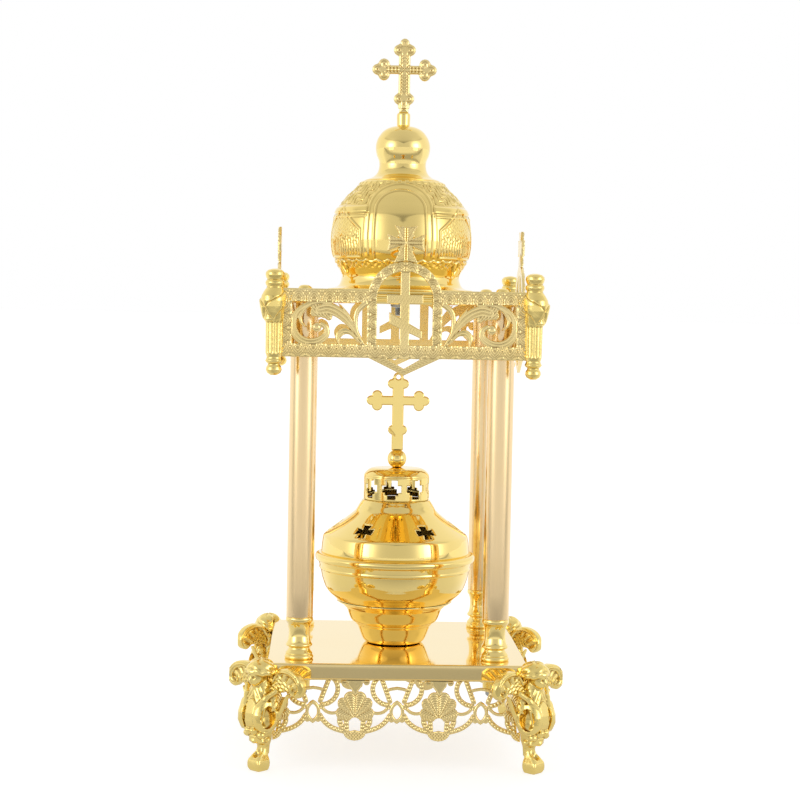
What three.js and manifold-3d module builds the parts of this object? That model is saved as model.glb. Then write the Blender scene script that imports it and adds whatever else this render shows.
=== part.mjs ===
// A lidded censer under a domed shrine on four winged feet.
// Millimetres, +Z up. The origin is on the ground under the middle, and the front faces -Y.
import * as THREE from 'three';
import { mergeVertices } from 'three/addons/utils/BufferGeometryUtils.js';
import Module from 'manifold-3d';

const wasm = await Module();
wasm.setup();

// Clearances, and how far joined shapes run into each other
const gap = 0.3;
const slidingGap = 0.5;
const seam = 0.1;

// Base plate: a tray with a down-turned rim
const plateSide = 122.6;
const plateHeight = 50;
const plateSheet = 1.2;
const plateRim = 7.5;

// Columns: a turned base and a tube, clamped by a long bolt
const columnSpacing = 93.4;
const tubeDiameter = 12.7;
const tubeWall = 0.8;
const tubeLength = 154;
const columnBaseHeight = 19.8;
const columnBaseDiameter = 13.6;

// Tie bolts and their nuts
const boltDiameter = 4;
const boltHeadDiameter = 6.4;
const boltHeadHeight = 2.3;
const boltTail = 1.8;
const nutAcrossFlats = 7;
const nutHeight = 3.2;

// Feet
const lugHeight = 12.8;
const lugDiameter = 11;
const webWidth = 6;
const webDepth = 6.2;
const headDiameter = 12.6;
const headRise = 3.2;
const headOut = 5.7;
const bodyWidth = 19;
const bellyHeight = 25;
const bellyOut = 12.5;
const backIn = 2.45;
const ankleHeight = 10;
const toeOut = 6.9;
const heelIn = 0.2;
const shoeWidth = 8.4;
const shoeHeight = 7.4;
const wingSpan = 49;
const wingHeight = 48.6;
const wingThickness = 4.4;
const wingIn = 0.1;
const wingCurlDiameter = 9.2;
const wingBand = 3.8;

// Apron strips under the rim
const apronThickness = 1.2;
const apronLap = 5;
const apronPitch = 39.6;
const apronDepth = 28.8;

// Roof plate
const roofSide = 118;
const roofSheet = 1.2;
const roofRim = 6;

// Frieze panels
const friezeThickness = 2;
const friezeInset = 1.5;
const friezeHeight = 31.9;
const friezeSeat = 31.3;
const friezeBorder = 6.4;
const friezeEndBorder = 5;
const archWidth = 35;
const archBorder = 4.5;
const archRise = 45.1;
const dropDepth = 8;
const dropHoleWidth = 15.4;
const dropHoleDepth = 4.6;
const crossShaft = 4.4;
const upperBarLength = 17;
const upperBarHeight = 4.3;
const slantBarLength = 15.6;
const slantBarHeight = 4.4;
const slantAngle = -31;
const scrollDiameter = 19.2;
const scrollBand = 3.4;
const finialWidth = 17.7;
const finialHeight = 16.9;

// Corner consoles
const consoleOut = 1.5;
const consoleHeight = 49.4;
const consoleDiameter = 9.4;
const consoleTop = 9.4;
const leafBulge = 13.2;
const leafHeight = 16;

// Dome
const domeSheet = 0.9;
const skirtDiameter = 72;
const skirtHeight = 8;
const domeDiameter = 69;
const domeHeight = 46;
const domeTopDiameter = 38;
const lanternDiameter = 26.8;
const lanternHeight = 27.4;
const lanternFlareDiameter = 37.2;
const lanternFlareWidth = 2;
const lanternFlareHeight = 1.2;
const domeTopLap = 3;
const domeRodDiameter = 4.9;
const domeRodTail = 4.1;
const domeNutAcrossFlats = 8;
const domeNutHeight = 4.7;
const domeWasherDiameter = 12;
const domeWasherThickness = 1.9;

// Ferrule and top cross
const ferruleDiameter = 6.4;
const ferruleHeight = 6.6;
const tangDiameter = 3.2;
const tangLength = 4.6;
const topCrossHeight = 36.6;
const topCrossSpan = 32.1;
const topCrossThickness = 2.2;
const topCrossShaft = 6;
const topCrossBar = 4;
const topCrossLobe = 5;
const topCrossLowerLobes = 6.6;

// Censer foot and bowl
const bowlSheet = 0.9;
const footBaseDiameter = 30.6;
const footFlangeDiameter = 57.2;
const footFloorHeight = 18;
const bowlDepth = 27;
const bowlDiameter = 79.4;
const bowlLipHeight = 2;
const bowlScrewDiameter = 4;
const bowlScrewHead = 7.5;
const bowlScrewHeadHeight = 1.8;
const bowlNutHeight = 3.2;
const bowlScrewTail = 1;

// Charcoal pan
const panClearance = 1.4;
const panFloorDiameter = 44;
const panDepth = 8.6;
const panSheet = 0.8;
const panFloorGap = 0.4;

// Lid: shell, pierced crown, cap, ball and cross
const lidSheet = 0.9;
const lidDiameter = 73.6;
const lidBandHeight = 8;
const lidShellHeight = 26.8;
const crownDiameter = 32.8;
const crownHeight = 11.6;
const crownSheet = 0.8;
const crownCrossCount = 8;
const crownCrossHeight = 9.2;
const crownCrossWidth = 9.8;
const crownCrossArm = 3.6;
const crownCrossTurn = -10.8;
const lidCrossCount = 6;
const lidCrossSize = 10;
const lidCrossArm = 3.4;
const lidCrossRadius = 28.8;
const lidCrossTurn = -33;
const capHeight = 4.2;
const ballDiameter = 9.5;
const ballFlat = 4.2;
const studDiameter = 3;
const studTail = 2.2;
const lidNutAcrossFlats = 5.5;
const lidNutHeight = 2.4;
const handCrossHeight = 39;
const handCrossSpan = 31.4;
const handCrossThickness = 2;
const handCrossShaft = 5.6;
const handCrossBar = 4.5;
const handCrossLobe = 4.6;
const handCrossRingHole = 2;
const footrestHeight = 10.1;
const footrestSpan = 9.5;
const footrestLobe = 4.8;

// Facets round turned pieces
const smallFacets = 8;
const coarseFacets = 12;
const mediumFacets = 16;
const fineFacets = 20;

// Heights worked out from the sizes above
const plateUnderside = plateHeight - plateSheet;
const rimBottom = plateHeight - plateRim;
const tubeBottom = plateHeight + columnBaseHeight;
const roofUnderside = tubeBottom + tubeLength;
const roofTop = roofUnderside + roofSheet;
const roofRimBottom = roofTop - roofRim;
const friezeBottom = roofTop - friezeSeat;
const friezeTop = friezeBottom + friezeHeight;
const consoleBottom = roofTop + consoleTop - consoleHeight;
const domeBottom = roofTop + skirtHeight;
const lanternBottom = domeBottom + domeHeight;
const lanternTop = lanternBottom + lanternHeight;
const ferruleTop = lanternTop + ferruleHeight;
const bowlSeat = plateHeight + footFloorHeight;
const bowlRimTop = bowlSeat + bowlDepth;
const lidTop = bowlRimTop + lidShellHeight;
const crownTop = lidTop + crownHeight;
const capTop = crownTop + capHeight;
const columnReach = columnSpacing / Math.SQRT2;
const boltBore = boltDiameter + 2 * gap;
const apronPlane = plateSide / 2 - plateSheet;
const friezePlane = roofSide / 2;
const plateCorner = plateSide / Math.SQRT2;
const headReach = plateCorner + headOut;
const bellyReach = plateCorner + bellyOut;
const backReach = plateCorner - backIn;
const toeReach = plateCorner + toeOut;
const heelReach = plateCorner - heelIn;
const wingReach = plateCorner - wingIn;
const friezeLength = roofSide - 2 * friezeInset;
const consoleSpacing = roofSide + 2 * consoleOut;
const apronLength = 2 * (apronPlane - apronThickness - gap);
const apronTopLength = apronLength - Math.SQRT2 * webWidth;
const roofCornerCut = (friezeLength + roofSide) / (2 * Math.SQRT2);

// How much the flat under the ball lowers it
function ballRest() {
  const radius = ballDiameter / 2;
  return radius - Math.sqrt(radius ** 2 - (ballFlat / 2) ** 2);
}

// Finishes
const polished = new THREE.MeshStandardMaterial({ color: 0xf0cf7a, roughness: 0.12, metalness: 1 });
const satin = new THREE.MeshStandardMaterial({ color: 0xdcc08c, roughness: 0.35, metalness: 1 });
const stamped = new THREE.MeshStandardMaterial({ color: 0xe6cf86, roughness: 0.4, metalness: 1 });
const cast = new THREE.MeshStandardMaterial({ color: 0xecc765, roughness: 0.25, metalness: 1 });
const steel = new THREE.MeshStandardMaterial({ color: 0x9aa3a6, roughness: 0.4, metalness: 1 });

// Solids

// Turns a closed geometry into a solid with its faces pointing out.
function solid(geometry) {
  const bare = geometry.index ? geometry.toNonIndexed() : geometry.clone();
  bare.deleteAttribute('normal');
  bare.deleteAttribute('uv');
  const merged = mergeVertices(bare, 1e-3);
  const place = merged.attributes.position.array;
  const corner = (index) => new THREE.Vector3().fromArray(place, 3 * index);
  const faces = [];
  let volume = 0;
  for (let i = 0; i < merged.index.count; i += 3) {
    const [a, b, c] = [0, 1, 2].map((step) => merged.index.getX(i + step));
    if (a !== b && b !== c && c !== a) {
      faces.push([a, b, c]);
      volume += corner(a).dot(corner(b).cross(corner(c)));
    }
  }
  const outward = volume > 0 ? faces : faces.map(([a, b, c]) => [a, c, b]);
  const mesh = new wasm.Mesh({
    numProp: 3,
    vertProperties: new Float32Array(place),
    triVerts: new Uint32Array(outward.flat()),
  });
  return new wasm.Manifold(mesh);
}

function join(solids) {
  return solids.reduce((sum, next) => sum.add(next));
}

function cut(body, tools) {
  return tools.reduce((rest, tool) => rest.subtract(tool), body);
}

// A named mesh made from a solid.
function piece(name, body, material) {
  const { numProp, vertProperties, triVerts } = body.getMesh();
  const points = new Float32Array((vertProperties.length / numProp) * 3);
  for (let i = 0; i < points.length / 3; i += 1) {
    points.set(vertProperties.subarray(i * numProp, i * numProp + 3), 3 * i);
  }
  const geometry = new THREE.BufferGeometry();
  geometry.setAttribute('position', new THREE.BufferAttribute(points, 3));
  geometry.setIndex(new THREE.BufferAttribute(new Uint32Array(triVerts), 1));
  geometry.computeVertexNormals();
  const mesh = new THREE.Mesh(geometry, material);
  mesh.name = name;
  return mesh;
}

// A box between two corners.
function block([x0, y0, z0], [x1, y1, z1]) {
  const geometry = new THREE.BoxGeometry(x1 - x0, y1 - y0, z1 - z0);
  return solid(geometry.translate((x0 + x1) / 2, (y0 + y1) / 2, (z0 + z1) / 2));
}

// A square block on the centre line.
function squareBlock(side, bottom, top) {
  return block([-side / 2, -side / 2, bottom], [side / 2, side / 2, top]);
}

// An upright cylinder at x, y.
function post(diameter, bottom, top, x = 0, y = 0, facets = smallFacets) {
  const geometry = new THREE.CylinderGeometry(diameter / 2, diameter / 2, top - bottom, facets);
  return solid(geometry.rotateX(Math.PI / 2).translate(x, y, (bottom + top) / 2));
}

// Turns a closed or axis-to-axis outline of [radius, height] points round the Z axis.
function turned(outline, facets) {
  const points = outline.map(([radius, height]) => new THREE.Vector2(radius, height));
  return solid(new THREE.LatheGeometry(points, facets).rotateX(Math.PI / 2));
}

// Closes an outline that never touches the axis.
function closed(outline) {
  return [...outline, outline[0]];
}

// Scales an outline given in shares of a diameter and a height.
function scaled(outline, diameter, bottom, height) {
  return outline.map(([radius, level]) => [radius * (diameter / 2), bottom + level * height]);
}

// The inner side of a sheet whose outer side runs upwards. The foot of the sheet stays level,
// and a top end that runs inwards keeps its radius.
function innerSide(outline, sheet) {
  return outline.map((point, i) => {
    const before = outline[Math.max(i - 1, 0)];
    const after = outline[Math.min(i + 1, outline.length - 1)];
    const run = [after[0] - before[0], after[1] - before[1]];
    const length = Math.hypot(...run);
    const atTop = i === outline.length - 1;
    if (i === 0 || (atTop && run[1] > Math.abs(run[0]))) {
      return [point[0] - sheet, point[1]];
    }
    if (atTop) {
      return [point[0], point[1] - sheet];
    }
    return [point[0] - (sheet * run[1]) / length, point[1] + (sheet * run[0]) / length];
  });
}

// A turned sheet: the outer side runs upwards and the inner side comes back down.
function turnedSheet(outline, sheet, facets) {
  return turned(closed([...outline, ...innerSide(outline, sheet).reverse()]), facets);
}

// Flat work: shapes are drawn in X and Z, and cut from sheet behind the plane y = -outer.
function flatWork(shapes, outer, thickness) {
  return join(shapes.map((shape) => {
    const geometry = new THREE.ExtrudeGeometry(shape, { depth: thickness, bevelEnabled: false });
    return solid(geometry.rotateX(Math.PI / 2).translate(0, thickness - outer, 0));
  }));
}

// Holes for flat work: the same shapes, cut right through it.
function holesThrough(shapes, outer, thickness) {
  return flatWork(shapes, outer + 1, thickness + 2);
}

function polygon(points) {
  return new THREE.Shape(points.map(([x, z]) => new THREE.Vector2(x, z)));
}

function rectangle(x0, z0, x1, z1) {
  return polygon([[x0, z0], [x1, z0], [x1, z1], [x0, z1]]);
}

function disc(x, z, diameter, facets = smallFacets) {
  const points = [];
  for (let i = 0; i < facets; i += 1) {
    const turn = (2 * Math.PI * i) / facets;
    points.push([x + (diameter / 2) * Math.cos(turn), z + (diameter / 2) * Math.sin(turn)]);
  }
  return polygon(points);
}

// A band of even width along a smooth line through the given points.
function band(points, width, steps = 6) {
  const line = new THREE.SplineCurve(points.map(([x, z]) => new THREE.Vector2(x, z)));
  const left = [];
  const right = [];
  for (let i = 0; i <= steps; i += 1) {
    const at = line.getPoint(i / steps);
    const along = line.getTangent(i / steps);
    left.push([at.x - (along.y * width) / 2, at.y + (along.x * width) / 2]);
    right.push([at.x + (along.y * width) / 2, at.y - (along.x * width) / 2]);
  }
  return polygon([...left, ...right.reverse()]);
}

// Points on an arc, for bands. Angles are in degrees.
function arc(x, z, radius, start, end, count = 6) {
  const points = [];
  for (let i = 0; i <= count; i += 1) {
    const turn = THREE.MathUtils.degToRad(start + ((end - start) * i) / count);
    points.push([x + radius * Math.cos(turn), z + radius * Math.sin(turn)]);
  }
  return points;
}

function mirrored(points) {
  return points.map(([x, z]) => [-x, z]);
}

// A shape from its right half. Points on the middle line are used once.
function symmetric(half) {
  return polygon([...half, ...mirrored(half.filter(([x]) => x > 0)).reverse()]);
}

// Four copies about the middle, a quarter turn apart.
const cornerNames = ['front_right', 'back_right', 'back_left', 'front_left'];
const sideNames = ['front', 'right', 'back', 'left'];

function fourTimes(prefix, names, body, material, firstTurn = 0) {
  return names.map((name, i) => {
    const mesh = piece(`${prefix}_${name}`, body, material);
    mesh.rotation.z = firstTurn + (i * Math.PI) / 2;
    return mesh;
  });
}

// Places round the columns
function atColumns(make) {
  const reach = columnSpacing / 2;
  return [[reach, -reach], [reach, reach], [-reach, reach], [-reach, -reach]].map(([x, y]) => make(x, y));
}

// Shrine pieces

function basePlate() {
  const tray = squareBlock(plateSide, rimBottom, plateHeight);
  const inside = squareBlock(plateSide - 2 * plateSheet, rimBottom - 1, plateUnderside);
  const bores = atColumns((x, y) => post(boltBore, plateUnderside - 1, plateHeight + 1, x, y));
  return piece('base_plate', cut(tray, [inside, ...bores]), polished);
}

function roofPlate() {
  const tray = squareBlock(roofSide, roofRimBottom, roofTop);
  const corners = new THREE.CylinderGeometry(roofCornerCut, roofCornerCut, 2 * roofRim, 4);
  const diamondScale = Math.SQRT2;
  corners.rotateX(Math.PI / 2).scale(diamondScale, diamondScale, 1).translate(0, 0, roofTop - roofRim / 2);
  const clipped = tray.intersect(solid(corners));
  const inside = squareBlock(roofSide - 2 * roofSheet, roofRimBottom - 1, roofUnderside);
  const insideCorners = new THREE.CylinderGeometry(1, 1, 2 * roofRim, 4);
  const insideReach = (roofCornerCut - roofSheet) * diamondScale;
  insideCorners.rotateX(Math.PI / 2).scale(insideReach, insideReach, 1);
  insideCorners.translate(0, 0, roofTop - roofRim / 2);
  const hollow = inside.intersect(solid(insideCorners));
  const bores = atColumns((x, y) => post(boltBore, roofUnderside - 1, roofTop + 1, x, y));
  const rodBore = post(domeRodDiameter + 2 * gap, roofUnderside - 1, roofTop + 1);
  return piece('roof_plate', cut(clipped, [hollow, ...bores, rodBore]), polished);
}

const columnBaseOutline = [
  [0.96, 0], [1, 0.05], [1, 0.1], [0.9, 0.14], [0.71, 0.26], [0.93, 0.33],
  [0.86, 0.38], [0.74, 0.6], [0.8, 0.8], [0.93, 0.91], [0.93, 1],
];

function columnBase() {
  const outer = scaled(columnBaseOutline, columnBaseDiameter, 0, columnBaseHeight);
  const bore = [[boltBore / 2, columnBaseHeight], [boltBore / 2, 0]];
  return turned(closed([...outer, ...bore]), coarseFacets);
}

function columnTube() {
  const outer = [[tubeDiameter / 2, 0], [tubeDiameter / 2, tubeLength]];
  return turnedSheet(outer, tubeWall, coarseFacets);
}

function tieBolt() {
  const shank = boltDiameter / 2;
  const head = boltHeadDiameter / 2;
  const tail = plateUnderside - lugHeight - nutHeight - boltTail;
  return turned([
    [0, tail], [shank, tail], [shank, roofTop], [head, roofTop],
    [0.95 * head, roofTop + 0.4 * boltHeadHeight], [0.55 * head, roofTop + 0.85 * boltHeadHeight],
    [0, roofTop + boltHeadHeight],
  ], coarseFacets);
}

// A hexagon nut with a clear bore.
function hexNut(acrossFlats, height, boreDiameter) {
  const across = acrossFlats / Math.cos(Math.PI / 6);
  return cut(post(across, 0, height, 0, 0, 6), [post(boreDiameter, -1, height + 1)]);
}

function columns() {
  const bolt = tieBolt();
  const base = columnBase();
  const tube = columnTube();
  const nut = hexNut(nutAcrossFlats, nutHeight, boltBore);
  const places = atColumns((x, y) => [x, y]);
  return cornerNames.flatMap((name, i) => {
    const [x, y] = places[i];
    const place = (prefix, body, z, material) => {
      const mesh = piece(`${prefix}_${name}`, body, material);
      mesh.position.set(x, y, z);
      return mesh;
    };
    return [
      place('column_base', base, plateHeight, polished),
      place('column_tube', tube, tubeBottom, satin),
      place('tie_bolt', bolt, 0, polished),
      place('tie_nut', nut, plateUnderside - lugHeight - nutHeight, steel),
    ];
  });
}

// Foot: drawn with +X outwards along the corner's diagonal, and turned to its corner.
function footBody() {
  const side = [
    [heelReach, ankleHeight - 1], [toeReach - 2, ankleHeight - 1], [toeReach + 1, ankleHeight + 6],
    [bellyReach, bellyHeight], [bellyReach - 1, bellyHeight + 7], [headReach + 3, rimBottom - 3.5],
    [headReach, rimBottom + 1], [backReach + 2, rimBottom - gap], [backReach, rimBottom - 6.5],
    [backReach + 2, bellyHeight + 2], [backReach, bellyHeight - 6],
  ];
  const profile = new THREE.ExtrudeGeometry(polygon(side), { depth: bodyWidth, bevelEnabled: false });
  profile.rotateX(Math.PI / 2).translate(0, bodyWidth / 2, 0);
  const half = bodyWidth / 2;
  const front = [
    [0.4, ankleHeight - 1], [0.68, ankleHeight + 5], [1, bellyHeight - 2], [0.95, bellyHeight + 5],
    [0.74, rimBottom - 5.5], [0.42, rimBottom + 1],
  ].map(([share, z]) => [share * half, z]);
  const face = symmetric(front);
  const facing = new THREE.ExtrudeGeometry(face, { depth: bellyReach, bevelEnabled: false });
  facing.rotateX(Math.PI / 2).rotateZ(Math.PI / 2);
  return solid(profile).intersect(solid(facing));
}

function footWing() {
  const tip = wingSpan / 2;
  const curl = wingCurlDiameter / 2;
  const curlHeight = wingHeight - curl;
  const across = curl - wingBand / 2;
  const path = [
    [5, rimBottom - 8.5], [9.5, rimBottom - 2.5], [14, wingHeight - wingBand / 2 - 0.8],
    ...arc(tip - curl, curlHeight, across, 90, -120, 4),
  ];
  const leaf = [
    [4, bellyHeight - 5], [9, bellyHeight - 8], [12.5, bellyHeight], [15.5, rimBottom - 5.5],
    [13.5, rimBottom + 0.5], [8, rimBottom - 4.5],
  ];
  const shapes = [band(path, wingBand, 7), polygon(leaf)];
  const half = flatWork(shapes, 0, wingThickness);
  return half.rotate([0, 0, 90]).translate([wingReach + wingThickness / 2, 0, 0]);
}

function footShoe() {
  const outline = [
    [heelReach, 0], [toeReach, 0], [toeReach, shoeHeight / 2], [toeReach - 3, shoeHeight],
    [toeReach - 3.4, ankleHeight + 2], [heelReach - 0.6, ankleHeight + 2],
    [heelReach - 0.6, shoeHeight - 2.4],
  ];
  const shoe = new THREE.ExtrudeGeometry(polygon(outline), { depth: shoeWidth, bevelEnabled: false });
  return solid(shoe.rotateX(Math.PI / 2).translate(0, shoeWidth / 2, 0));
}

function foot() {
  const head = new THREE.SphereGeometry(headDiameter / 2, smallFacets, 6).rotateX(Math.PI / 2);
  head.translate(headReach, 0, plateHeight + headRise - headDiameter / 2);
  const wing = footWing();
  const figure = join([footBody(), solid(head), wing, wing.mirror([0, 1, 0]), footShoe()]);
  const plateRoom = squareBlock(plateSide + 2 * gap, rimBottom - gap, plateHeight + 20).rotate([0, 0, 45]);
  const lugBottom = plateUnderside - lugHeight;
  const web = block(
    [columnReach, -webWidth / 2, rimBottom - gap - webDepth],
    [headReach - 4, webWidth / 2, rimBottom - gap],
  );
  const lug = post(lugDiameter, lugBottom, plateUnderside, columnReach, 0, coarseFacets);
  const bore = post(boltBore, lugBottom - 1, plateUnderside + 1, columnReach);
  return cut(join([cut(figure, [plateRoom]), web, lug]), [bore]);
}

// Apron strip. Half a repeat is drawn from a pointed oval at x = 0 to a shell at half the pitch,
// with heights counted down from the rim.
const apronLowerEdge = [[0, -21], [2.6, -21.4], [3.9, -19.4], [9.4, -24.8], [14.8, -25.2], [19.8, -28.8]];
const apronHalfHoles = [
  [[7.2, -1.2], [9.9, -5], [4.9, -11.2], [5.6, -6]],
  [[9.8, -0.4], [12.3, -6], [5.4, -14], [11.8, -15], [12, -10.4], [16.4, -0.4]],
  [[5.6, -17.2], [12, -17], [13.6, -22.6], [8.4, -21.4]],
];
const apronMiddleHoles = [
  [[0, -12], [1.8, -15], [0, -18.8], [-1.8, -15]],
  [[5.2, -0.6], [2.4, -8.4], [-2.4, -8.4], [-5.2, -0.6]],
];
const apronShellHole = [[2.6, -18.6], [2.6, -23.6], [-2.6, -23.6], [-2.6, -18.6]];
const drawnPitch = 39.6;
const drawnDepth = 28.8;

function apronStrip() {
  const place = (points, middle) => polygon(points.map(([x, z]) => (
    [middle + (x * apronPitch) / drawnPitch, rimBottom + (z * apronDepth) / drawnDepth]
  )));
  const units = [-1, 0, 1].map((k) => k * apronPitch);
  const shells = [-1.5, -0.5, 0.5, 1.5].map((k) => k * apronPitch);
  const lowerHalf = [...apronLowerEdge, [drawnPitch / 2, 0.5], [0, 0.5]];
  const sheets = units.flatMap((at) => [place(lowerHalf, at), place(mirrored(lowerHalf), at)]);
  const halfHoles = apronHalfHoles.flatMap((hole) => [hole, mirrored(hole)]);
  const holes = [
    ...units.flatMap((at) => [...halfHoles, ...apronMiddleHoles].map((hole) => place(hole, at))),
    ...shells.map((at) => place(apronShellHole, at)),
  ];
  const sheet = flatWork(sheets, apronPlane, apronThickness);
  const work = cut(sheet, [holesThrough(holes, apronPlane, apronThickness)]);
  const webRoom = rimBottom - 2 * gap - webDepth;
  const limits = [[apronLength, 0, webRoom], [apronTopLength, webRoom - seam, rimBottom]];
  const kept = join(limits.map(([length, bottom, top]) => block(
    [-length / 2, -apronPlane - 1, bottom], [length / 2, -apronPlane + apronThickness + 1, top],
  )));
  const lap = block(
    [-apronTopLength / 2, -apronPlane, rimBottom - 0.2],
    [apronTopLength / 2, -apronPlane + apronThickness, rimBottom + apronLap],
  );
  return join([work.intersect(kept), lap]);
}

// Frieze panel
function friezePanel() {
  const half = friezeLength / 2;
  const archHalf = archWidth / 2;
  const innerArch = archHalf - archBorder;
  const archCentre = friezeBottom + archRise - archHalf;
  const openingBottom = friezeBottom + friezeBorder;
  const openingTop = friezeTop - friezeBorder;
  const ends = half - friezeEndBorder;
  const panel = polygon([
    [-half, friezeBottom], [-archHalf, friezeBottom], [0, friezeBottom - dropDepth], [archHalf, friezeBottom],
    [half, friezeBottom], [half, friezeTop], [archHalf, friezeTop],
    ...arc(0, archCentre, archHalf, 4, 176, 12), [-archHalf, friezeTop], [-half, friezeTop],
  ]);
  const archOpening = polygon([
    [-innerArch, openingBottom], [innerArch, openingBottom], ...arc(0, archCentre, innerArch, 0, 180, 10),
  ]);
  const dropHole = polygon([
    [-dropHoleWidth / 2, friezeBottom - 0.4], [0, friezeBottom - 0.4 - dropHoleDepth],
    [dropHoleWidth / 2, friezeBottom - 0.4],
  ]);
  const sideOpening = (side) => rectangle(
    Math.min(side * archHalf, side * ends), openingBottom, Math.max(side * archHalf, side * ends), openingTop,
  );
  const outer = friezePlane + friezeThickness;
  const holes = [archOpening, dropHole, sideOpening(1), sideOpening(-1)];
  const sheet = flatWork([panel], outer, friezeThickness);
  const border = cut(sheet, [holesThrough(holes, outer, friezeThickness)]);
  const fill = [...friezeCross(archCentre), ...friezeScrolls(openingBottom, openingTop), ...friezeFinial()];
  return join([border, flatWork(fill, outer, friezeThickness)]);
}

function friezeCross(archCentre) {
  const halfShaft = crossShaft / 2;
  const innerTop = archCentre + archWidth / 2 - archBorder;
  const slantHeight = friezeBottom + 15.6;
  const turn = THREE.MathUtils.degToRad(slantAngle);
  const slant = [[-1, -1], [1, -1], [1, 1], [-1, 1]].map(([sx, sz]) => {
    const x = (sx * slantBarLength) / 2;
    return [x, slantHeight + x * Math.tan(turn) + (sz * slantBarHeight) / 2];
  });
  const barTop = friezeTop - 2;
  return [
    rectangle(-halfShaft, friezeBottom + friezeBorder - 1, halfShaft, innerTop + 1),
    rectangle(-upperBarLength / 2, barTop - upperBarHeight, upperBarLength / 2, barTop),
    polygon(slant),
  ];
}

function friezeScrolls(bottom, top) {
  const radius = (scrollDiameter - scrollBand) / 2;
  const middle = (bottom + top) / 2;
  const root = archWidth / 2;
  const scrollPlace = friezeLength / 2 - friezeEndBorder - scrollDiameter / 2 + seam;
  const reach = scrollPlace - root;
  const curl = arc(scrollPlace, middle, radius, 200, -120, 8);
  const stem = [
    [root + 0.04 * reach, bottom - 1], [root + 0.24 * reach, bottom + 5], [root + 0.51 * reach, top - 5],
    [root + 0.84 * reach, top - 4],
  ];
  const leaf = [
    [root + 0.2 * reach, bottom + 5], [root + 0.43 * reach, bottom + 8.4], [root + 0.51 * reach, bottom - 1],
  ];
  const lines = [[curl, scrollBand, 8], [stem, scrollBand, 4], [leaf, 2.8, 3]];
  return lines.flatMap(([line, width, steps]) => (
    [band(line, width, steps), band(mirrored(line), width, steps)]
  ));
}

// The small flared cross on the arch's top
function friezeFinial() {
  const bottom = friezeBottom + archRise - 0.6;
  const halfHeight = finialHeight / 2;
  const middle = bottom + 0.6 + halfHeight;
  const halfWidth = finialWidth / 2;
  const arm = (reach, root, end, turns) => polygon([[-root, 0], [root, 0], [end, reach], [-end, reach]]
    .map(([x, z]) => [[x, z], [z, x], [x, -z], [-z, x]][turns])
    .map(([x, z]) => [x, z + middle]));
  return [
    arm(halfHeight, 1.8, 5, 0), arm(halfWidth, 1.8, 4, 1), arm(halfHeight + 1, 1.8, 4.6, 2),
    arm(halfWidth, 1.8, 4, 3), disc(0, middle, halfWidth),
  ];
}

// Corner console: drawn on its own axis with +X outwards, and turned to its corner.
const consoleOutline = [
  [0.5, 0], [0.87, 0.045], [0.62, 0.095], [0.98, 0.135], [0.86, 0.185], [0.9, 0.8], [1, 0.84], [0.8, 0.885],
  [0.98, 0.925], [0.6, 0.985],
];

function cornerConsole() {
  const reach = consoleSpacing / Math.SQRT2;
  const outline = scaled(consoleOutline, consoleDiameter, 0, consoleHeight);
  const shaft = turned([[0, 0], ...outline, [0, consoleHeight]], smallFacets);
  const leaf = new THREE.SphereGeometry(1, smallFacets, 6);
  leaf.scale(leafBulge / 2, consoleDiameter / 2, leafHeight / 2);
  leaf.translate((leafBulge - consoleDiameter) / 4, 0, 0.69 * consoleHeight);
  const body = join([shaft, solid(leaf)]).translate([reach, 0, consoleBottom]);
  const panelEnd = friezeLength / 2 + gap;
  const back = (panelEnd + friezePlane - gap) / Math.SQRT2;
  const behind = block([0, -reach, 0], [back, reach, 2 * consoleBottom]);
  const panelRoom = (turn) => block(
    [-panelEnd, -friezePlane - friezeThickness - gap, 0],
    [panelEnd, -friezePlane + gap, 2 * consoleBottom],
  ).rotate([0, 0, turn]);
  return cut(body, [behind, panelRoom(45), panelRoom(135)]);
}

// Dome pieces
const skirtOutline = [[1, 0], [1, 0.12], [0.86, 0.2], [0.825, 0.45], [0.808, 0.75], [0.822, 1]];
const domeOutline = [
  [0.845, 0], [0.9, 0.1], [0.98, 0.26], [1, 0.38], [0.985, 0.56], [0.955, 0.65], [0.86, 0.77], [0.74, 0.88],
  [0.64, 0.97],
];

function domeSkirt() {
  return turnedSheet(scaled(skirtOutline, skirtDiameter, roofTop, skirtHeight), domeSheet, fineFacets);
}

function domeShell() {
  const wall = scaled(domeOutline, domeDiameter, domeBottom, domeHeight);
  const flare = lanternFlareDiameter / 2;
  const outline = [...wall, [domeTopDiameter / 2, lanternBottom], [flare - domeTopLap, lanternBottom]];
  return turnedSheet(outline, domeSheet, fineFacets);
}

const lanternOutline = [
  [0.93, 0.12], [0.83, 0.26], [0.91, 0.37], [1, 0.5], [1, 0.64], [0.92, 0.77], [0.78, 0.88], [0.5, 0.97],
];

function domeLantern() {
  const bulb = scaled(lanternOutline, lanternDiameter, lanternBottom, lanternHeight);
  const top = [(domeRodDiameter + 2 * gap) / 2, lanternTop];
  const flare = lanternFlareDiameter / 2;
  const edge = [flare - lanternFlareWidth, lanternBottom + lanternFlareHeight];
  const outline = [[flare, lanternBottom], edge, ...bulb, top];
  return turnedSheet(outline, domeSheet, mediumFacets);
}

function domeRod() {
  const radius = domeRodDiameter / 2;
  const spigot = tangDiameter / 2;
  const bottom = roofUnderside - domeWasherThickness - domeNutHeight - domeRodTail;
  const shoulder = lanternTop - gap;
  return turned([
    [0, bottom], [radius, bottom], [radius, shoulder], [spigot, shoulder], [spigot, lanternTop + tangLength],
    [0, lanternTop + tangLength],
  ], coarseFacets);
}

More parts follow.
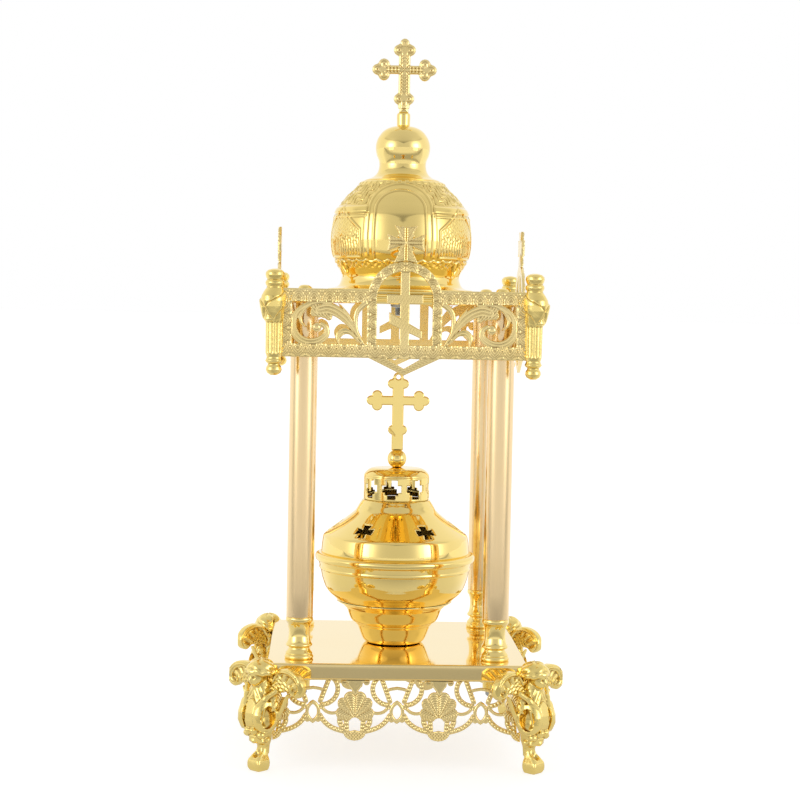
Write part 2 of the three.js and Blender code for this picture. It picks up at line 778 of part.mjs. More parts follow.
function ferrule() {
  const outer = ferruleDiameter / 2;
  const bore = tangDiameter / 2 + gap;
  const boreTop = tangLength + gap;
  return turned([
    [bore, 0], [outer, 0], [outer, ferruleHeight - 0.6], [outer - 0.6, ferruleHeight], [0, ferruleHeight],
    [0, boreTop], [bore, boreTop], [bore, 0],
  ], coarseFacets);
}

// A cross with three-lobed ends, standing on its lower end.
function buddedCross(height, span, armHeight, shaft, bar, lobe, thickness, extras = []) {
  const half = span / 2;
  const back = 0.66 * lobe;
  const aside = 0.72 * lobe;
  const lobes = (x, z, outX, outZ) => [
    disc(x, z, lobe), disc(x - outX * back + outZ * aside, z - outZ * back - outX * aside, lobe),
    disc(x - outX * back - outZ * aside, z - outZ * back + outX * aside, lobe),
  ];
  return flatWork([
    rectangle(-shaft / 2, 0, shaft / 2, height - lobe / 2),
    rectangle(-half + lobe / 2, armHeight - bar / 2, half - lobe / 2, armHeight + bar / 2),
    ...lobes(0, height - lobe / 2, 0, 1), ...lobes(half - lobe / 2, armHeight, 1, 0),
    ...lobes(-half + lobe / 2, armHeight, -1, 0), ...extras,
  ], thickness / 2, thickness);
}

function topCross() {
  const lobe = topCrossLobe;
  const lowerLobes = [-1, 1].map((side) => disc(side * lobe * 0.66, topCrossLowerLobes, lobe));
  const armHeight = topCrossHeight - topCrossSpan / 2 + 0.8;
  return buddedCross(
    topCrossHeight, topCrossSpan, armHeight, topCrossShaft, topCrossBar, lobe, topCrossThickness, lowerLobes,
  );
}

function handCross() {
  const lobe = handCrossLobe;
  const armHeight = handCrossHeight - handCrossSpan / 2 + 1.2;
  const footrestOut = (footrestSpan - footrestLobe) / 2;
  const footrest = [-1, 1].map((side) => disc(side * footrestOut, footrestHeight, footrestLobe));
  const cross = buddedCross(
    handCrossHeight, handCrossSpan, armHeight, handCrossShaft, handCrossBar, lobe, handCrossThickness,
    footrest,
  );
  const hole = disc(0, handCrossHeight - lobe / 2 - 0.2, handCrossRingHole);
  return cut(cross, [holesThrough([hole], handCrossThickness / 2, handCrossThickness)]);
}

// Censer pieces
const footOutline = [[0.83, 0], [1, 0.083], [1.196, 0.467], [1.25, 0.556], [1.42, 0.69], [1.575, 0.96]];

const bowlOutline = [
  [0.5, 0], [0.64, 0.045], [0.76, 0.165], [0.84, 0.26], [0.88, 0.36], [0.915, 0.52], [0.928, 0.7],
  [0.94, 0.8], [1, 0.905], [1, 0.94], [0.965, 1],
];

function censerFoot() {
  const wall = scaled(footOutline, footBaseDiameter, 0, footFloorHeight);
  const [flat, bend, rise] = scaled(bowlOutline.slice(0, 3), bowlDiameter, footFloorHeight, bowlDepth);
  const flange = footFlangeDiameter / 2;
  const share = (flange - bend[0]) / (rise[0] - bend[0]);
  const flangeTop = bend[1] + share * (rise[1] - bend[1]) - gap;
  const floorUnder = footFloorHeight - bowlSheet;
  const bore = bowlScrewDiameter / 2 + gap;
  const inner = innerSide(wall.slice(0, 5), 2 * bowlSheet).reverse();
  return turned(closed([
    ...wall, [flange, flangeTop - bowlSheet], [flange, flangeTop], [bend[0], bend[1] - gap],
    [flat[0], footFloorHeight], [bore, footFloorHeight], [bore, floorUnder], [inner[0][0] - 0.5, floorUnder],
    ...inner.slice(1),
  ]), fineFacets);
}

function censerBowl() {
  const outer = scaled(bowlOutline, bowlDiameter, 0, bowlDepth);
  const inner = innerSide(outer.slice(0, 8), bowlSheet);
  const lip = lidDiameter / 2 - lidSheet - slidingGap;
  const bore = bowlScrewDiameter / 2 + gap;
  return turned(closed([
    [bore, 0], ...outer, [lip, bowlDepth], [lip, bowlDepth + bowlLipHeight],
    [lip - bowlSheet, bowlDepth + bowlLipHeight], ...inner.slice(1).reverse(), [outer[0][0], bowlSheet],
    [bore, bowlSheet],
  ]), fineFacets);
}

function bowlScrew() {
  const shank = bowlScrewDiameter / 2;
  const head = bowlScrewHead / 2;
  const top = bowlSheet + bowlScrewHeadHeight;
  const bottom = -bowlSheet - bowlNutHeight - bowlScrewTail;
  return turned([
    [0, bottom], [shank, bottom], [shank, bowlSheet], [head, bowlSheet], [0.8 * head, top], [0, top],
  ], coarseFacets);
}

// The radius inside the bowl at a height over its seat
function bowlInside(height) {
  const outline = scaled(bowlOutline, bowlDiameter, 0, bowlDepth);
  const upper = outline.findIndex(([, level]) => level >= height);
  const [low, high] = [outline[upper - 1], outline[upper]];
  const share = (height - low[1]) / (high[1] - low[1]);
  return low[0] + share * (high[0] - low[0]) - bowlSheet;
}

function charcoalPan() {
  const floor = panFloorDiameter / 2;
  const rim = bowlInside(bowlSheet + bowlScrewHeadHeight + panFloorGap + panDepth) - panClearance;
  const bend = [0.86 * rim, 0.35 * panDepth];
  const neck = 0.93 * rim;
  return turned([
    [0, 0], [floor, 0], bend, [neck, panDepth - panSheet], [rim, panDepth - panSheet], [rim, panDepth],
    [neck - panSheet, panDepth], [bend[0] - panSheet, bend[1] + 0.6 * panSheet], [floor, panSheet],
    [0, panSheet],
  ], mediumFacets);
}

// Lid
const lidBandOutline = [[1, 0], [0.985, 0.57], [0.972, 1]];
const lidConeShares = [[0.856, 0.1], [0.422, 0.41], [0.152, 0.7], [0.053, 0.91], [0, 1]];

function lidShell() {
  const bandPart = scaled(lidBandOutline, lidDiameter, 0, lidBandHeight);
  const cone = lidConeShares.map(([out, up]) => [
    (crownDiameter + out * (lidDiameter - crownDiameter)) / 2,
    lidBandHeight + up * (lidShellHeight - lidBandHeight),
  ]);
  const shell = turnedSheet([...bandPart, ...cone], lidSheet, fineFacets);
  const [low, high] = [cone[0], cone[1]];
  const share = (low[0] - lidCrossRadius) / (low[0] - high[0]);
  const height = low[1] + share * (high[1] - low[1]);
  const tilt = THREE.MathUtils.radToDeg(Math.atan2(low[0] - high[0], high[1] - low[1]));
  const arm = lidCrossArm / 2;
  const reach = lidCrossSize / 2;
  const punch = flatWork([rectangle(-arm, -reach, arm, reach), rectangle(-reach, -arm, reach, arm)], 4, 8);
  const punches = [];
  for (let i = 0; i < lidCrossCount; i += 1) {
    const turn = lidCrossTurn + (360 * i) / lidCrossCount;
    punches.push(punch.rotate([-tilt, 0, 0]).translate([0, -lidCrossRadius, height]).rotate([0, 0, turn]));
  }
  return cut(shell, punches);
}

function lidCrown() {
  const wall = [[crownDiameter / 2, 0], [crownDiameter / 2, crownHeight]];
  const ring = turnedSheet(wall, crownSheet, fineFacets);
  const arm = crownCrossArm / 2;
  const middle = crownHeight / 2;
  const punch = flatWork([
    rectangle(-arm, middle - crownCrossHeight / 2, arm, middle + crownCrossHeight / 2),
    rectangle(-crownCrossWidth / 2, middle - arm, crownCrossWidth / 2, middle + arm),
  ], crownDiameter, crownDiameter);
  const punches = [];
  for (let i = 0; i < crownCrossCount; i += 1) {
    punches.push(punch.rotate([0, 0, crownCrossTurn + (360 * i) / crownCrossCount]));
  }
  return cut(ring, punches);
}

const capOutline = [[1, 0], [0.98, 0.2], [0.9, 0.7], [0.78, 0.96], [0.4, 1]];

function lidCap() {
  const outline = [...scaled(capOutline, crownDiameter, 0, capHeight), [studDiameter / 2 + gap, capHeight]];
  return turnedSheet(outline, lidSheet, mediumFacets);
}

function lidBall() {
  const ball = new THREE.SphereGeometry(ballDiameter / 2, coarseFacets, 7).rotateX(Math.PI / 2);
  const lift = ballDiameter / 2 - ballRest();
  const whole = solid(ball.translate(0, 0, lift));
  const under = squareBlock(ballDiameter, -ballDiameter, 0);
  const over = squareBlock(ballDiameter, 2 * lift, 2 * ballDiameter);
  const bore = post(studDiameter + 2 * gap, -1, 2 * ballDiameter);
  return cut(whole, [under, over, bore]);
}

function lidStud() {
  const radius = studDiameter / 2;
  const bottom = -lidSheet - lidNutHeight - studTail;
  const top = ballDiameter - 2 * ballRest() - gap;
  return turned([[0, bottom], [radius, bottom], [radius, top], [0, top]], coarseFacets);
}

// Assembly
const shrine = new THREE.Group();
shrine.name = 'shrine_group';
shrine.add(
  basePlate(),
  roofPlate(),
  ...columns(),
  ...fourTimes('foot', cornerNames, foot(), cast, -Math.PI / 4),
  ...fourTimes('apron', sideNames, apronStrip(), stamped),
  ...fourTimes('frieze_panel', sideNames, friezePanel(), stamped),
  ...fourTimes('corner_console', cornerNames, cornerConsole(), cast, -Math.PI / 4),
  piece('dome_skirt', domeSkirt(), polished),
  piece('dome_shell', domeShell(), polished),
  piece('dome_lantern', domeLantern(), polished),
  piece('dome_rod', domeRod(), steel),
);

function placed(name, body, z, material) {
  const mesh = piece(name, body, material);
  mesh.position.z = z;
  return mesh;
}

const washer = cut(post(domeWasherDiameter, 0, domeWasherThickness), [
  post(domeRodDiameter + 2 * gap, -1, domeWasherThickness + 1),
]);
shrine.add(
  placed('dome_washer', washer, roofUnderside - domeWasherThickness, steel),
  placed('dome_nut', hexNut(domeNutAcrossFlats, domeNutHeight, domeRodDiameter + 2 * gap),
    roofUnderside - domeWasherThickness - domeNutHeight, steel),
  placed('cross_ferrule', ferrule(), lanternTop, polished),
  placed('top_cross', topCross(), ferruleTop, stamped),
);

const censer = new THREE.Group();
censer.name = 'censer_group';
censer.add(
  placed('censer_foot', censerFoot(), plateHeight, polished),
  placed('censer_bowl', censerBowl(), bowlSeat, polished),
  placed('bowl_screw', bowlScrew(), bowlSeat, steel),
  placed('bowl_nut', hexNut(nutAcrossFlats, bowlNutHeight, bowlScrewDiameter + 2 * gap),
    bowlSeat - bowlSheet - bowlNutHeight, steel),
  placed('charcoal_pan', charcoalPan(), bowlSeat + bowlSheet + bowlScrewHeadHeight + panFloorGap, steel),
);

const lid = new THREE.Group();
lid.name = 'lid_group';
lid.add(
  placed('lid_shell', lidShell(), bowlRimTop, polished),
  placed('lid_crown', lidCrown(), lidTop, polished),
  placed('lid_cap', lidCap(), crownTop, polished),
  placed('lid_ball', lidBall(), capTop, polished),
  placed('lid_stud', lidStud(), capTop, steel),
  placed('lid_nut', hexNut(lidNutAcrossFlats, lidNutHeight, studDiameter + 2 * gap),
    capTop - lidSheet - lidNutHeight, steel),
  placed('lid_cross', handCross(), capTop + ballDiameter - 2 * ballRest(), polished),
);

const whole = new THREE.Group();
whole.name = 'censer_shrine';
whole.add(shrine, censer, lid);

export default whole;
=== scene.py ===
"""Looks of a lidded censer under a domed shrine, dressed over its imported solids.

Sizes are in millimetres on the object's own axes (+Z up, front towards -Y) and are turned into
metres when a mesh is made.
"""

import logging
import math
from dataclasses import dataclass, field
from enum import Enum
from math import pi, tau
from typing import Any, Callable, Sequence

import bpy
import numpy as np
from mathutils import Matrix, Vector
from numpy import (arange, arctan2, array, asarray, clip, concatenate, cos, full, hypot, interp, linspace, maximum,
                   minimum, sin, sqrt, stack, vstack, where, zeros)
from numpy.linalg import norm

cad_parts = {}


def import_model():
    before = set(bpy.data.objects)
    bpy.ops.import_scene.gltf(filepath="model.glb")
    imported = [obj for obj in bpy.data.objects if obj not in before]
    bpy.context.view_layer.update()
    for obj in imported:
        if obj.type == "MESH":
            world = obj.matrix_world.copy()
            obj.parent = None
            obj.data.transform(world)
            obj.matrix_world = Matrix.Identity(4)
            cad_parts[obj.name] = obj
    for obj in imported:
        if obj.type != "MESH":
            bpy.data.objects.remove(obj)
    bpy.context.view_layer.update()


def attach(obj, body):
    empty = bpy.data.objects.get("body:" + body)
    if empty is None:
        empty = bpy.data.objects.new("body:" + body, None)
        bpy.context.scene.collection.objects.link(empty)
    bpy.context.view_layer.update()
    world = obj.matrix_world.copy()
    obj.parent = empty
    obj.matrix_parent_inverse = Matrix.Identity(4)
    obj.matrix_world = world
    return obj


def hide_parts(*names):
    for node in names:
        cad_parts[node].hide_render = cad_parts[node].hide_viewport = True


log = logging.getLogger("shrine")

MM = 0.001
CORNERS = ("front_right", "back_right", "back_left", "front_left")
SIDES = ("front", "right", "back", "left")
COLUMN_REACH = 93.4 / 2 * MM
QUARTER_TURNS = tuple(Matrix.Rotation(step * pi / 2, 4, "Z") for step in range(4))
COLUMN_PLACES = tuple(Matrix.Translation((x * COLUMN_REACH, y * COLUMN_REACH, 0))
                      for x, y in ((1, -1), (1, 1), (-1, 1), (-1, -1)))

Array = np.ndarray
Row = Sequence[float]
Points = Sequence[Row]
Mesh = tuple[Array, Sequence[Sequence[int]]]
Field = Callable[[Array, Array], Array]
Socket = bpy.types.NodeSocket


class Body(str, Enum):
    """The rigid bodies of the object."""

    SHRINE = "shrine"
    CENSER = "censer"
    PAN = "pan"
    LID = "lid"


# ---- finishes


@dataclass
class Wiring:
    """The nodes of a material or of the surroundings.

    Args:
        tree: Tree that the nodes stand in.
    """

    tree: bpy.types.NodeTree

    def add(self, kind: str, output: str, inputs: dict[str | int, Any] | None = None, **settings: Any) -> Socket:
        """Add a node.

        Args:
            kind: Kind of the node, without the ShaderNode before it.
            output: Name of the output that is wanted.
            inputs: Its values, or the outputs that feed it.
            settings: Its settings.

        Returns:
            The wanted output.
        """
        node = self.tree.nodes.new("ShaderNode" + kind)
        for key, value in settings.items():
            setattr(node, key, value)
        self.feed(node, inputs or {})
        return node.outputs[output]

    def feed(self, node: bpy.types.Node, inputs: dict[str | int, Any]) -> None:
        """Give a node its values and the outputs that feed it.

        Args:
            node: The node.
            inputs: Values or outputs, by the name or number of the input.
        """
        for key, value in inputs.items():
            if isinstance(value, Socket):
                self.tree.links.new(value, node.inputs[key])
            else:
                node.inputs[key].default_value = value

    def ramp(self, source: Socket, stops: Sequence[tuple[float, Row]]) -> Socket:
        """Turn a value from 0 to 1 into a colour.

        Args:
            source: The value.
            stops: Rows of (place, colour).

        Returns:
            The colour.
        """
        colour = self.add("ValToRGB", "Color", {"Fac": source})
        elements = colour.node.color_ramp.elements
        for (place, tone), element in zip((stops[0], stops[-1]), (elements[0], elements[1])):
            element.position, element.color = place, (*tone, 1)
        for place, tone in stops[1:-1]:
            elements.new(place).color = (*tone, 1)
        return colour

    def greys(self, source: Socket, *stops: tuple[float, float]) -> Socket:
        """Turn a direction's part from -1 to 1 into a grey.

        Args:
            source: The direction's part.
            stops: Rows of (place from 0 to 1, grey).

        Returns:
            The grey.
        """
        part = self.add("MapRange", "Result", {"Value": source, "From Min": -1.0})
        return self.ramp(part, [(place, (grey,) * 3) for place, grey in stops])


@dataclass(frozen=True)
class Finish:
    """A metal finish.

    Args:
        name: Name of the finish.
        slot: Material slot of the record that it stands for. Not used.
        pale: Colour of the metal, linear.
        deep: Colour it drifts to in patches, linear.
        rough: Lowest and highest roughness.
        grain: Size of the surface grain in millimetres.
        grain_depth: Strength of the grain's bump.
        streak: Stretch of the grain along Z, one for even grain.
        patch: Size of the colour patches in millimetres.
        recess: How much painted shade darkens the recesses, from 0 to 1.
    """

    name: str
    slot: str
    pale: tuple[float, float, float]
    deep: tuple[float, float, float]
    rough: tuple[float, float]
    grain: float
    grain_depth: float
    streak: float = 1.0
    patch: float = 25.0
    recess: float = 0.0

    def make(self) -> bpy.types.Material:
        """Build the node material.

        Returns:
            The material, made once and then reused.
        """
        known = bpy.data.materials.get(self.name)
        if known:
            return known
        material = bpy.data.materials.new(self.name)
        material.use_nodes = True
        wiring = Wiring(material.node_tree)
        tone = wiring.ramp(self._noise(wiring, self.patch, 3.0), ((0.32, self.pale), (0.72, self.deep)))
        if self.recess:  # painted shade: the recesses are darkened towards deep brown
            hollow = wiring.add("Attribute", "Fac", attribute_name="hollow")
            share = wiring.add("MapRange", "Result",
                               {"Value": hollow, "From Min": 0.5, "From Max": 0.95, "To Max": self.recess})
            tone = wiring.add("Mix", "Result", {"Factor": share, "A": tone, "B": (0.30, 0.17, 0.04, 1)},
                              data_type="RGBA", blend_type="MULTIPLY")
        grain = self._noise(wiring, self.grain, 5.0, self.streak)
        rough = wiring.add("MapRange", "Result", {"Value": grain, "From Min": 0.3, "From Max": 0.7,
                                                  "To Min": self.rough[0], "To Max": self.rough[1]})
        bump = wiring.add("Bump", "Normal", {"Height": grain, "Strength": 1.0, "Distance": self.grain_depth * MM})
        wiring.feed(material.node_tree.nodes["Principled BSDF"],
                    {"Metallic": 1.0, "Base Color": tone, "Roughness": rough, "Normal": bump})
        return material

    def _noise(self, wiring: Wiring, size: float, detail: float, streak: float = 1.0) -> Socket:
        """Add a noise texture.

        Args:
            wiring: Nodes of the material.
            size: Size of the noise in millimetres.
            detail: Number of finer layers.
            streak: Stretch along Z.

        Returns:
            The noise's value.
        """
        place = wiring.add("TexCoord", "Object")
        place = wiring.add("Mapping", "Vector", {"Vector": place, "Scale": (1.0, 1.0, 1.0 / streak)})
        return wiring.add("TexNoise", "Fac", {"Vector": place, "Scale": 1000.0 / size, "Detail": detail})


POLISHED = Finish("polished gold", "polished_brass", (0.98, 0.768, 0.30), (0.96, 0.732, 0.245),
                  (0.035, 0.07), 9.0, 0.012, patch=45.0)
PLATE_GOLD = Finish("rolled plate gold", "polished_brass", (0.985, 0.785, 0.385), (0.98, 0.76, 0.34),
                    (0.05, 0.09), 14.0, 0.01, patch=70.0)
# recess sets how much painted shade darkens a finish's recesses
EMBOSSED = Finish("embossed gold", "polished_brass", (0.98, 0.768, 0.30), (0.96, 0.732, 0.245),
                  (0.06, 0.11), 6.0, 0.01, patch=45.0, recess=0.7)
SATIN = Finish("satin gold", "satin_brass", (0.95, 0.73, 0.43), (0.93, 0.70, 0.38),
               (0.16, 0.24), 0.5, 0.004, streak=60.0, patch=40.0)
STAMPED = Finish("stamped gold", "stamped_brass", (0.97, 0.78, 0.37), (0.94, 0.73, 0.30),
                 (0.15, 0.24), 0.7, 0.012, patch=18.0, recess=0.8)
CAST = Finish("cast gold", "cast_brass", (0.98, 0.78, 0.29), (0.96, 0.73, 0.23),
              (0.11, 0.19), 1.5, 0.09, patch=14.0, recess=0.7)
ZINC = Finish("zinc steel", "zinc_steel", (0.50, 0.54, 0.55), (0.40, 0.43, 0.45),
              (0.3, 0.45), 0.9, 0.02, patch=6.0)
PAN_STEEL = Finish("heat stained steel", "pan_steel", (0.46, 0.44, 0.42), (0.30, 0.25, 0.20),
                   (0.35, 0.55), 1.4, 0.03, patch=9.0)


# ---- mesh making


def make_piece(node: str, shape: Mesh, finish: Finish, body: Body = Body.SHRINE,
               crease: float = 35.0) -> bpy.types.Object:
    """Make the piece that stands for one solid.

    Args:
        node: Name of the solid.
        shape: Points in millimetres, and the corner numbers of each face.
        finish: Its finish.
        body: Body that it moves with.
        crease: Degrees over which an edge is sharp.

    Returns:
        The new object.
    """
    points, faces = shape
    mesh = bpy.data.meshes.new(f"{node}_dressed")
    if isinstance(faces, np.ndarray):
        fill_mesh(mesh, points, faces)
    else:
        mesh.from_pydata((asarray(points) * MM).tolist(), [], faces)
    mesh.validate()
    mesh.shade_smooth()
    mesh.set_sharp_from_angle(angle=math.radians(crease))
    for face in mesh.polygons:  # large faces stay flat, so that rounded edges don't bend their shine
        if face.loop_total > 8:
            face.use_smooth = False
    # painted shade: mark the recesses that the finish darkens
    if finish.recess:
        mark_painted_shade(mesh)
    mesh.materials.append(finish.make())
    return settle(node, mesh, finish, body)


def fill_mesh(mesh: bpy.types.Mesh, points: Array, faces: Array) -> None:
    """Fill a mesh from arrays.

    Args:
        mesh: Mesh to fill.
        points: Points in millimetres.
        faces: Corner numbers, all faces with the same count.
    """
    count, corners = faces.shape
    mesh.vertices.add(len(points))
    mesh.vertices.foreach_set("co", (asarray(points, float) * MM).astype(np.float32).ravel())
    mesh.loops.add(count * corners)
    mesh.loops.foreach_set("vertex_index", faces.astype(np.int32).ravel())
    mesh.polygons.add(count)
    mesh.polygons.foreach_set("loop_start", arange(0, count * corners, corners, dtype=np.int32))
    mesh.update(calc_edges=True)


def mark_painted_shade(mesh: bpy.types.Mesh, rounds: int = 5, depth: float = 0.16) -> None:
    """Mark how far each point lies in a recess, as the attribute hollow, which the finishes use to paint shade into
    the recesses.

    Args:
        mesh: Mesh to mark.
        rounds: How often the surface is smoothed for the comparison.
        depth: Depth in millimetres that counts as a full recess.
    """
    count = len(mesh.vertices)
    points, normals = np.empty(count * 3), np.empty(count * 3)
    mesh.vertices.foreach_get("co", points)
    mesh.vertices.foreach_get("normal", normals)
    points, normals = points.reshape(-1, 3), normals.reshape(-1, 3)
    edges = np.empty(len(mesh.edges) * 2, dtype=np.int64)
    mesh.edges.foreach_get("vertices", edges)
    a, b = edges.reshape(-1, 2).T
    share = maximum(np.bincount(a, minlength=count) + np.bincount(b, minlength=count), 1)
    smooth = points.copy()
    for _ in range(rounds):
        total = stack([np.bincount(a, smooth[b, k], count) + np.bincount(b, smooth[a, k], count) for k in range(3)],
                      -1)
        smooth = 0.3 * smooth + 0.7 * total / share[:, None]
    inward = ((smooth - points) * normals).sum(1) / MM
    value = clip(0.5 + 0.5 * inward / depth, 0.0, 1.0).astype(np.float32)
    mark = mesh.attributes.new("hollow", "FLOAT", "POINT")
    mark.data.foreach_set("value", value)


def settle(node: str, mesh: bpy.types.Mesh, finish: Finish, body: Body = Body.SHRINE,
           place: Matrix = QUARTER_TURNS[0]) -> bpy.types.Object:
    """Set a dressed mesh in its place and hand it to its body.

    Args:
        node: Name of its solid.
        mesh: The dressed mesh.
        finish: Its finish. Not used.
        body: Body that it moves with.
        place: Its place.

    Returns:
        The new object.
    """
    thing = bpy.data.objects.new(f"{node}_dressed", mesh)
    bpy.context.scene.collection.objects.link(thing)
    thing.matrix_world = place
    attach(thing, body.value)
    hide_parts(node)
    log.info("%s: %d points, on %s", thing.name, len(mesh.vertices), body.value)
    return thing


def repeat(prefix: str, shape: Mesh, finish: Finish, names: Sequence[str], crease: float = 35.0,
           places: Sequence[Matrix] = QUARTER_TURNS) -> None:
    """Make a piece once and set it in four places.

    Args:
        prefix: Start of the names of the solids.
        shape: Points and faces of the first.
        finish: Its finish.
        names: Ends of the names of the solids.
        crease: Degrees over which an edge is sharp.
        places: The four places, a quarter turn apart if none are given.
    """
    first = make_piece(f"{prefix}_{names[0]}", shape, finish, crease=crease)
    first.matrix_world = places[0]
    for name, place in zip(names[1:], places[1:]):
        settle(f"{prefix}_{name}", first.data, finish, place=place)


def spline(points: Points, step: float = 0.5) -> Array:
    """Run a smooth line through points.

    Args:
        points: Points of any number of columns; the first two are the place.
        step: Distance between the points of the line.

    Returns:
        Points along the line.
    """
    p = asarray(points, float)
    if len(p) < 3:
        count = max(2, int(np.ceil(norm(p[-1, :2] - p[0, :2]) / step)) + 1)
        return p[0] + (p[-1] - p[0]) * linspace(0, 1, count)[:, None]
    ends = vstack([2 * p[0] - p[1], p, 2 * p[-1] - p[-2]])
    out = []
    for a, b, c, d in zip(ends, ends[1:], ends[2:], ends[3:]):
        knots = [0.0]
        for one, two in ((a, b), (b, c), (c, d)):
            knots.append(knots[-1] + max(norm(two[:2] - one[:2]), 1e-6) ** 0.5)
        t0, t1, t2, t3 = knots
        count = max(1, int(np.ceil(norm(c[:2] - b[:2]) / step)))
        for t in t1 + (t2 - t1) * arange(count) / count:
            mixed = [a, b, c, d]
            for spans in (((t0, t1), (t1, t2), (t2, t3)), ((t0, t2), (t1, t3)), ((t1, t2),)):
                mixed = [(high - t) / (high - low) * one + (t - low) / (high - low) * two
                         for (low, high), one, two in zip(spans, mixed, mixed[1:])]
            out.append(mixed[0])
    out.append(p[-1])
    return array(out)


def outline(*runs: Points, round_off: float = 0.25, step: float = 0.6, whole: bool = False) -> Array:
    """Join smooth runs of (radius, height) points, and round the corners where they meet.

    Args:
        runs: Runs of points; each goes on from the end of the one before.
        round_off: Size of the rounded corners.
        step: Distance between points.
        whole: Whether each run is given with its own start instead.

    Returns:
        The whole outline.
    """
    starts = [()] + [() if whole else (run[-1],) for run in runs]
    lines = [spline([*start, *run], step) for start, run in zip(starts, runs)]
    out = [lines[0][0]]
    for i, line in enumerate(lines):
        last = i == len(lines) - 1
        body = line[1:] if last else line[1:-1]
        if i > 0:
            body = body[norm(body - line[0], axis=1) > round_off * 1.1]
        if not last:
            body = body[norm(body - line[-1], axis=1) > round_off * 1.1]
        out.extend(body)
        if not last:
            corner, nxt = line[-1], lines[i + 1]
            before, after = line[-2] - corner, nxt[1] - corner
            size = min(round_off, 0.45 * norm(line[0] - line[-1]),
                       0.45 * norm(nxt[0] - nxt[-1]))
            start = corner + before / max(norm(before), 1e-9) * size
            end = corner + after / max(norm(after), 1e-9) * size
            for t in (0, 0.33, 0.67, 1):
                out.append((1 - t) ** 2 * start + 2 * t * (1 - t) * corner + t * t * end)
    return array(out)


def heading(line: Array) -> Array:
    """Unit direction of a line at each of its points."""
    run = np.gradient(line, axis=0)
    return run / maximum(norm(run, axis=1), 1e-9)[:, None]


def turn(profile: Array, steps: int, relief: Field | None = None) -> Mesh:
    """Turn a closed profile round the Z axis.

    Args:
        profile: Points of (radius, height), the outer side running upwards.
        steps: Number of steps round the axis.
        relief: Gives how far each point stands proud, from its angle and its row number.

    Returns:
        Points and faces.
    """
    angle = tau * arange(steps) / steps
    rows = len(profile)
    radius, height = (np.repeat(column[:, None], steps, 1) for column in profile.T)
    if relief is not None:
        run = heading(profile)
        proud = relief(np.repeat(angle[None], rows, 0), np.repeat(arange(rows)[:, None], steps, 1))
        radius = radius + proud * run[:, 1][:, None]
        height = height - proud * run[:, 0][:, None]
    points = stack([radius * sin(angle), -radius * cos(angle), height], -1).reshape(-1, 3)
    on_axis = profile[:, 0] < 1e-6
    faces = []
    for low in range(rows):
        high = (low + 1) % rows
        for j in range(steps):
            k = (j + 1) % steps
            ring = ((low, j), (low, k), (high, k), (high, j))
            face = list(dict.fromkeys(row * steps + (0 if on_axis[row] else step) for row, step in ring))
            if len(face) > 2:
                faces.append(face)
    used = np.unique(concatenate([array(f) for f in faces]))
    renumber = full(len(points), -1)
    renumber[used] = arange(len(used))
    return points[used], [[int(renumber[i]) for i in f] for f in faces]


def lathe(node: str, profile: Array, finish: Finish, steps: int = 144, body: Body = Body.SHRINE,
          crease: float = 35.0) -> None:
    """Make a turned piece.

    Args:
        node: Name of its solid.
        profile: Points of (radius, height).
        finish: Its finish.
        steps: Number of steps round the axis.
        body: Body that it moves with.
        crease: Degrees over which an edge is sharp.
    """
    make_piece(node, turn(profile, steps), finish, body, crease)


def drawn_in(profile: Array, sheet: float, spacing: float = 3.0) -> Array:
    """The inner side of a sheet, coming back from the profile's end to its start.

    Args:
        profile: Outer side of the sheet.
        sheet: Thickness of the sheet.
        spacing: Distance between the inner points.

    Returns:
        Points of the inner side.
    """
    run = heading(profile)
    inner = profile + sheet * stack([-run[:, 1], run[:, 0]], -1)
    keep = [0]
    for i in range(1, len(inner) - 1):
        if norm(inner[i] - inner[keep[-1]]) > spacing:
            keep.append(i)
    return inner[[*keep, len(inner) - 1]][::-1]


# ---- drawing on a flat


def nearest(place: Array, period: float) -> Array:
    """Distance, with its sign, from the nearest whole multiple of a period."""
    return (place + period / 2) % period - period / 2


def rib(distance: Array, width: float) -> Array:
    """A rounded rib, one at the middle and falling to nothing at the width."""
    return clip(1 - (distance / width) ** 2, 0, 1)


def in_box(x: Array, z: Array, x0: float, z0: float, x1: float, z1: float) -> Array:
    """Signed distance to a box, negative inside."""
    qx, qz = np.abs(x - (x0 + x1) / 2) - (x1 - x0) / 2, np.abs(z - (z0 + z1) / 2) - (z1 - z0) / 2
    return hypot(maximum(qx, 0), maximum(qz, 0)) + minimum(maximum(qx, qz), 0)


def in_disc(x: Array, z: Array, cx: float, cz: float, radius: float) -> Array:
    """Signed distance to a disc, negative inside."""
    return hypot(x - cx, z - cz) - radius


def in_polygon(x: Array, z: Array, corners: Points) -> Array:
    """Signed distance to a polygon.

    Args:
        x: Places across.
        z: Places up.
        corners: Corners of the polygon in order.

    Returns:
        Distances.
    """
    closest = full(np.shape(x), 1e9)
    inside = zeros(np.shape(x), bool)
    ring = list(corners)
    for (ax, az), (bx, bz) in zip(ring, ring[1:] + ring[:1]):
        ex, ez = bx - ax, bz - az
        t = clip(((x - ax) * ex + (z - az) * ez) / max(ex * ex + ez * ez, 1e-12), 0, 1)
        closest = minimum(closest, hypot(x - ax - t * ex, z - az - t * ez))
        if ez != 0:
            inside ^= ((az > z) != (bz > z)) & (x < ex * (z - az) / ez + ax)
    return where(inside, -closest, closest)


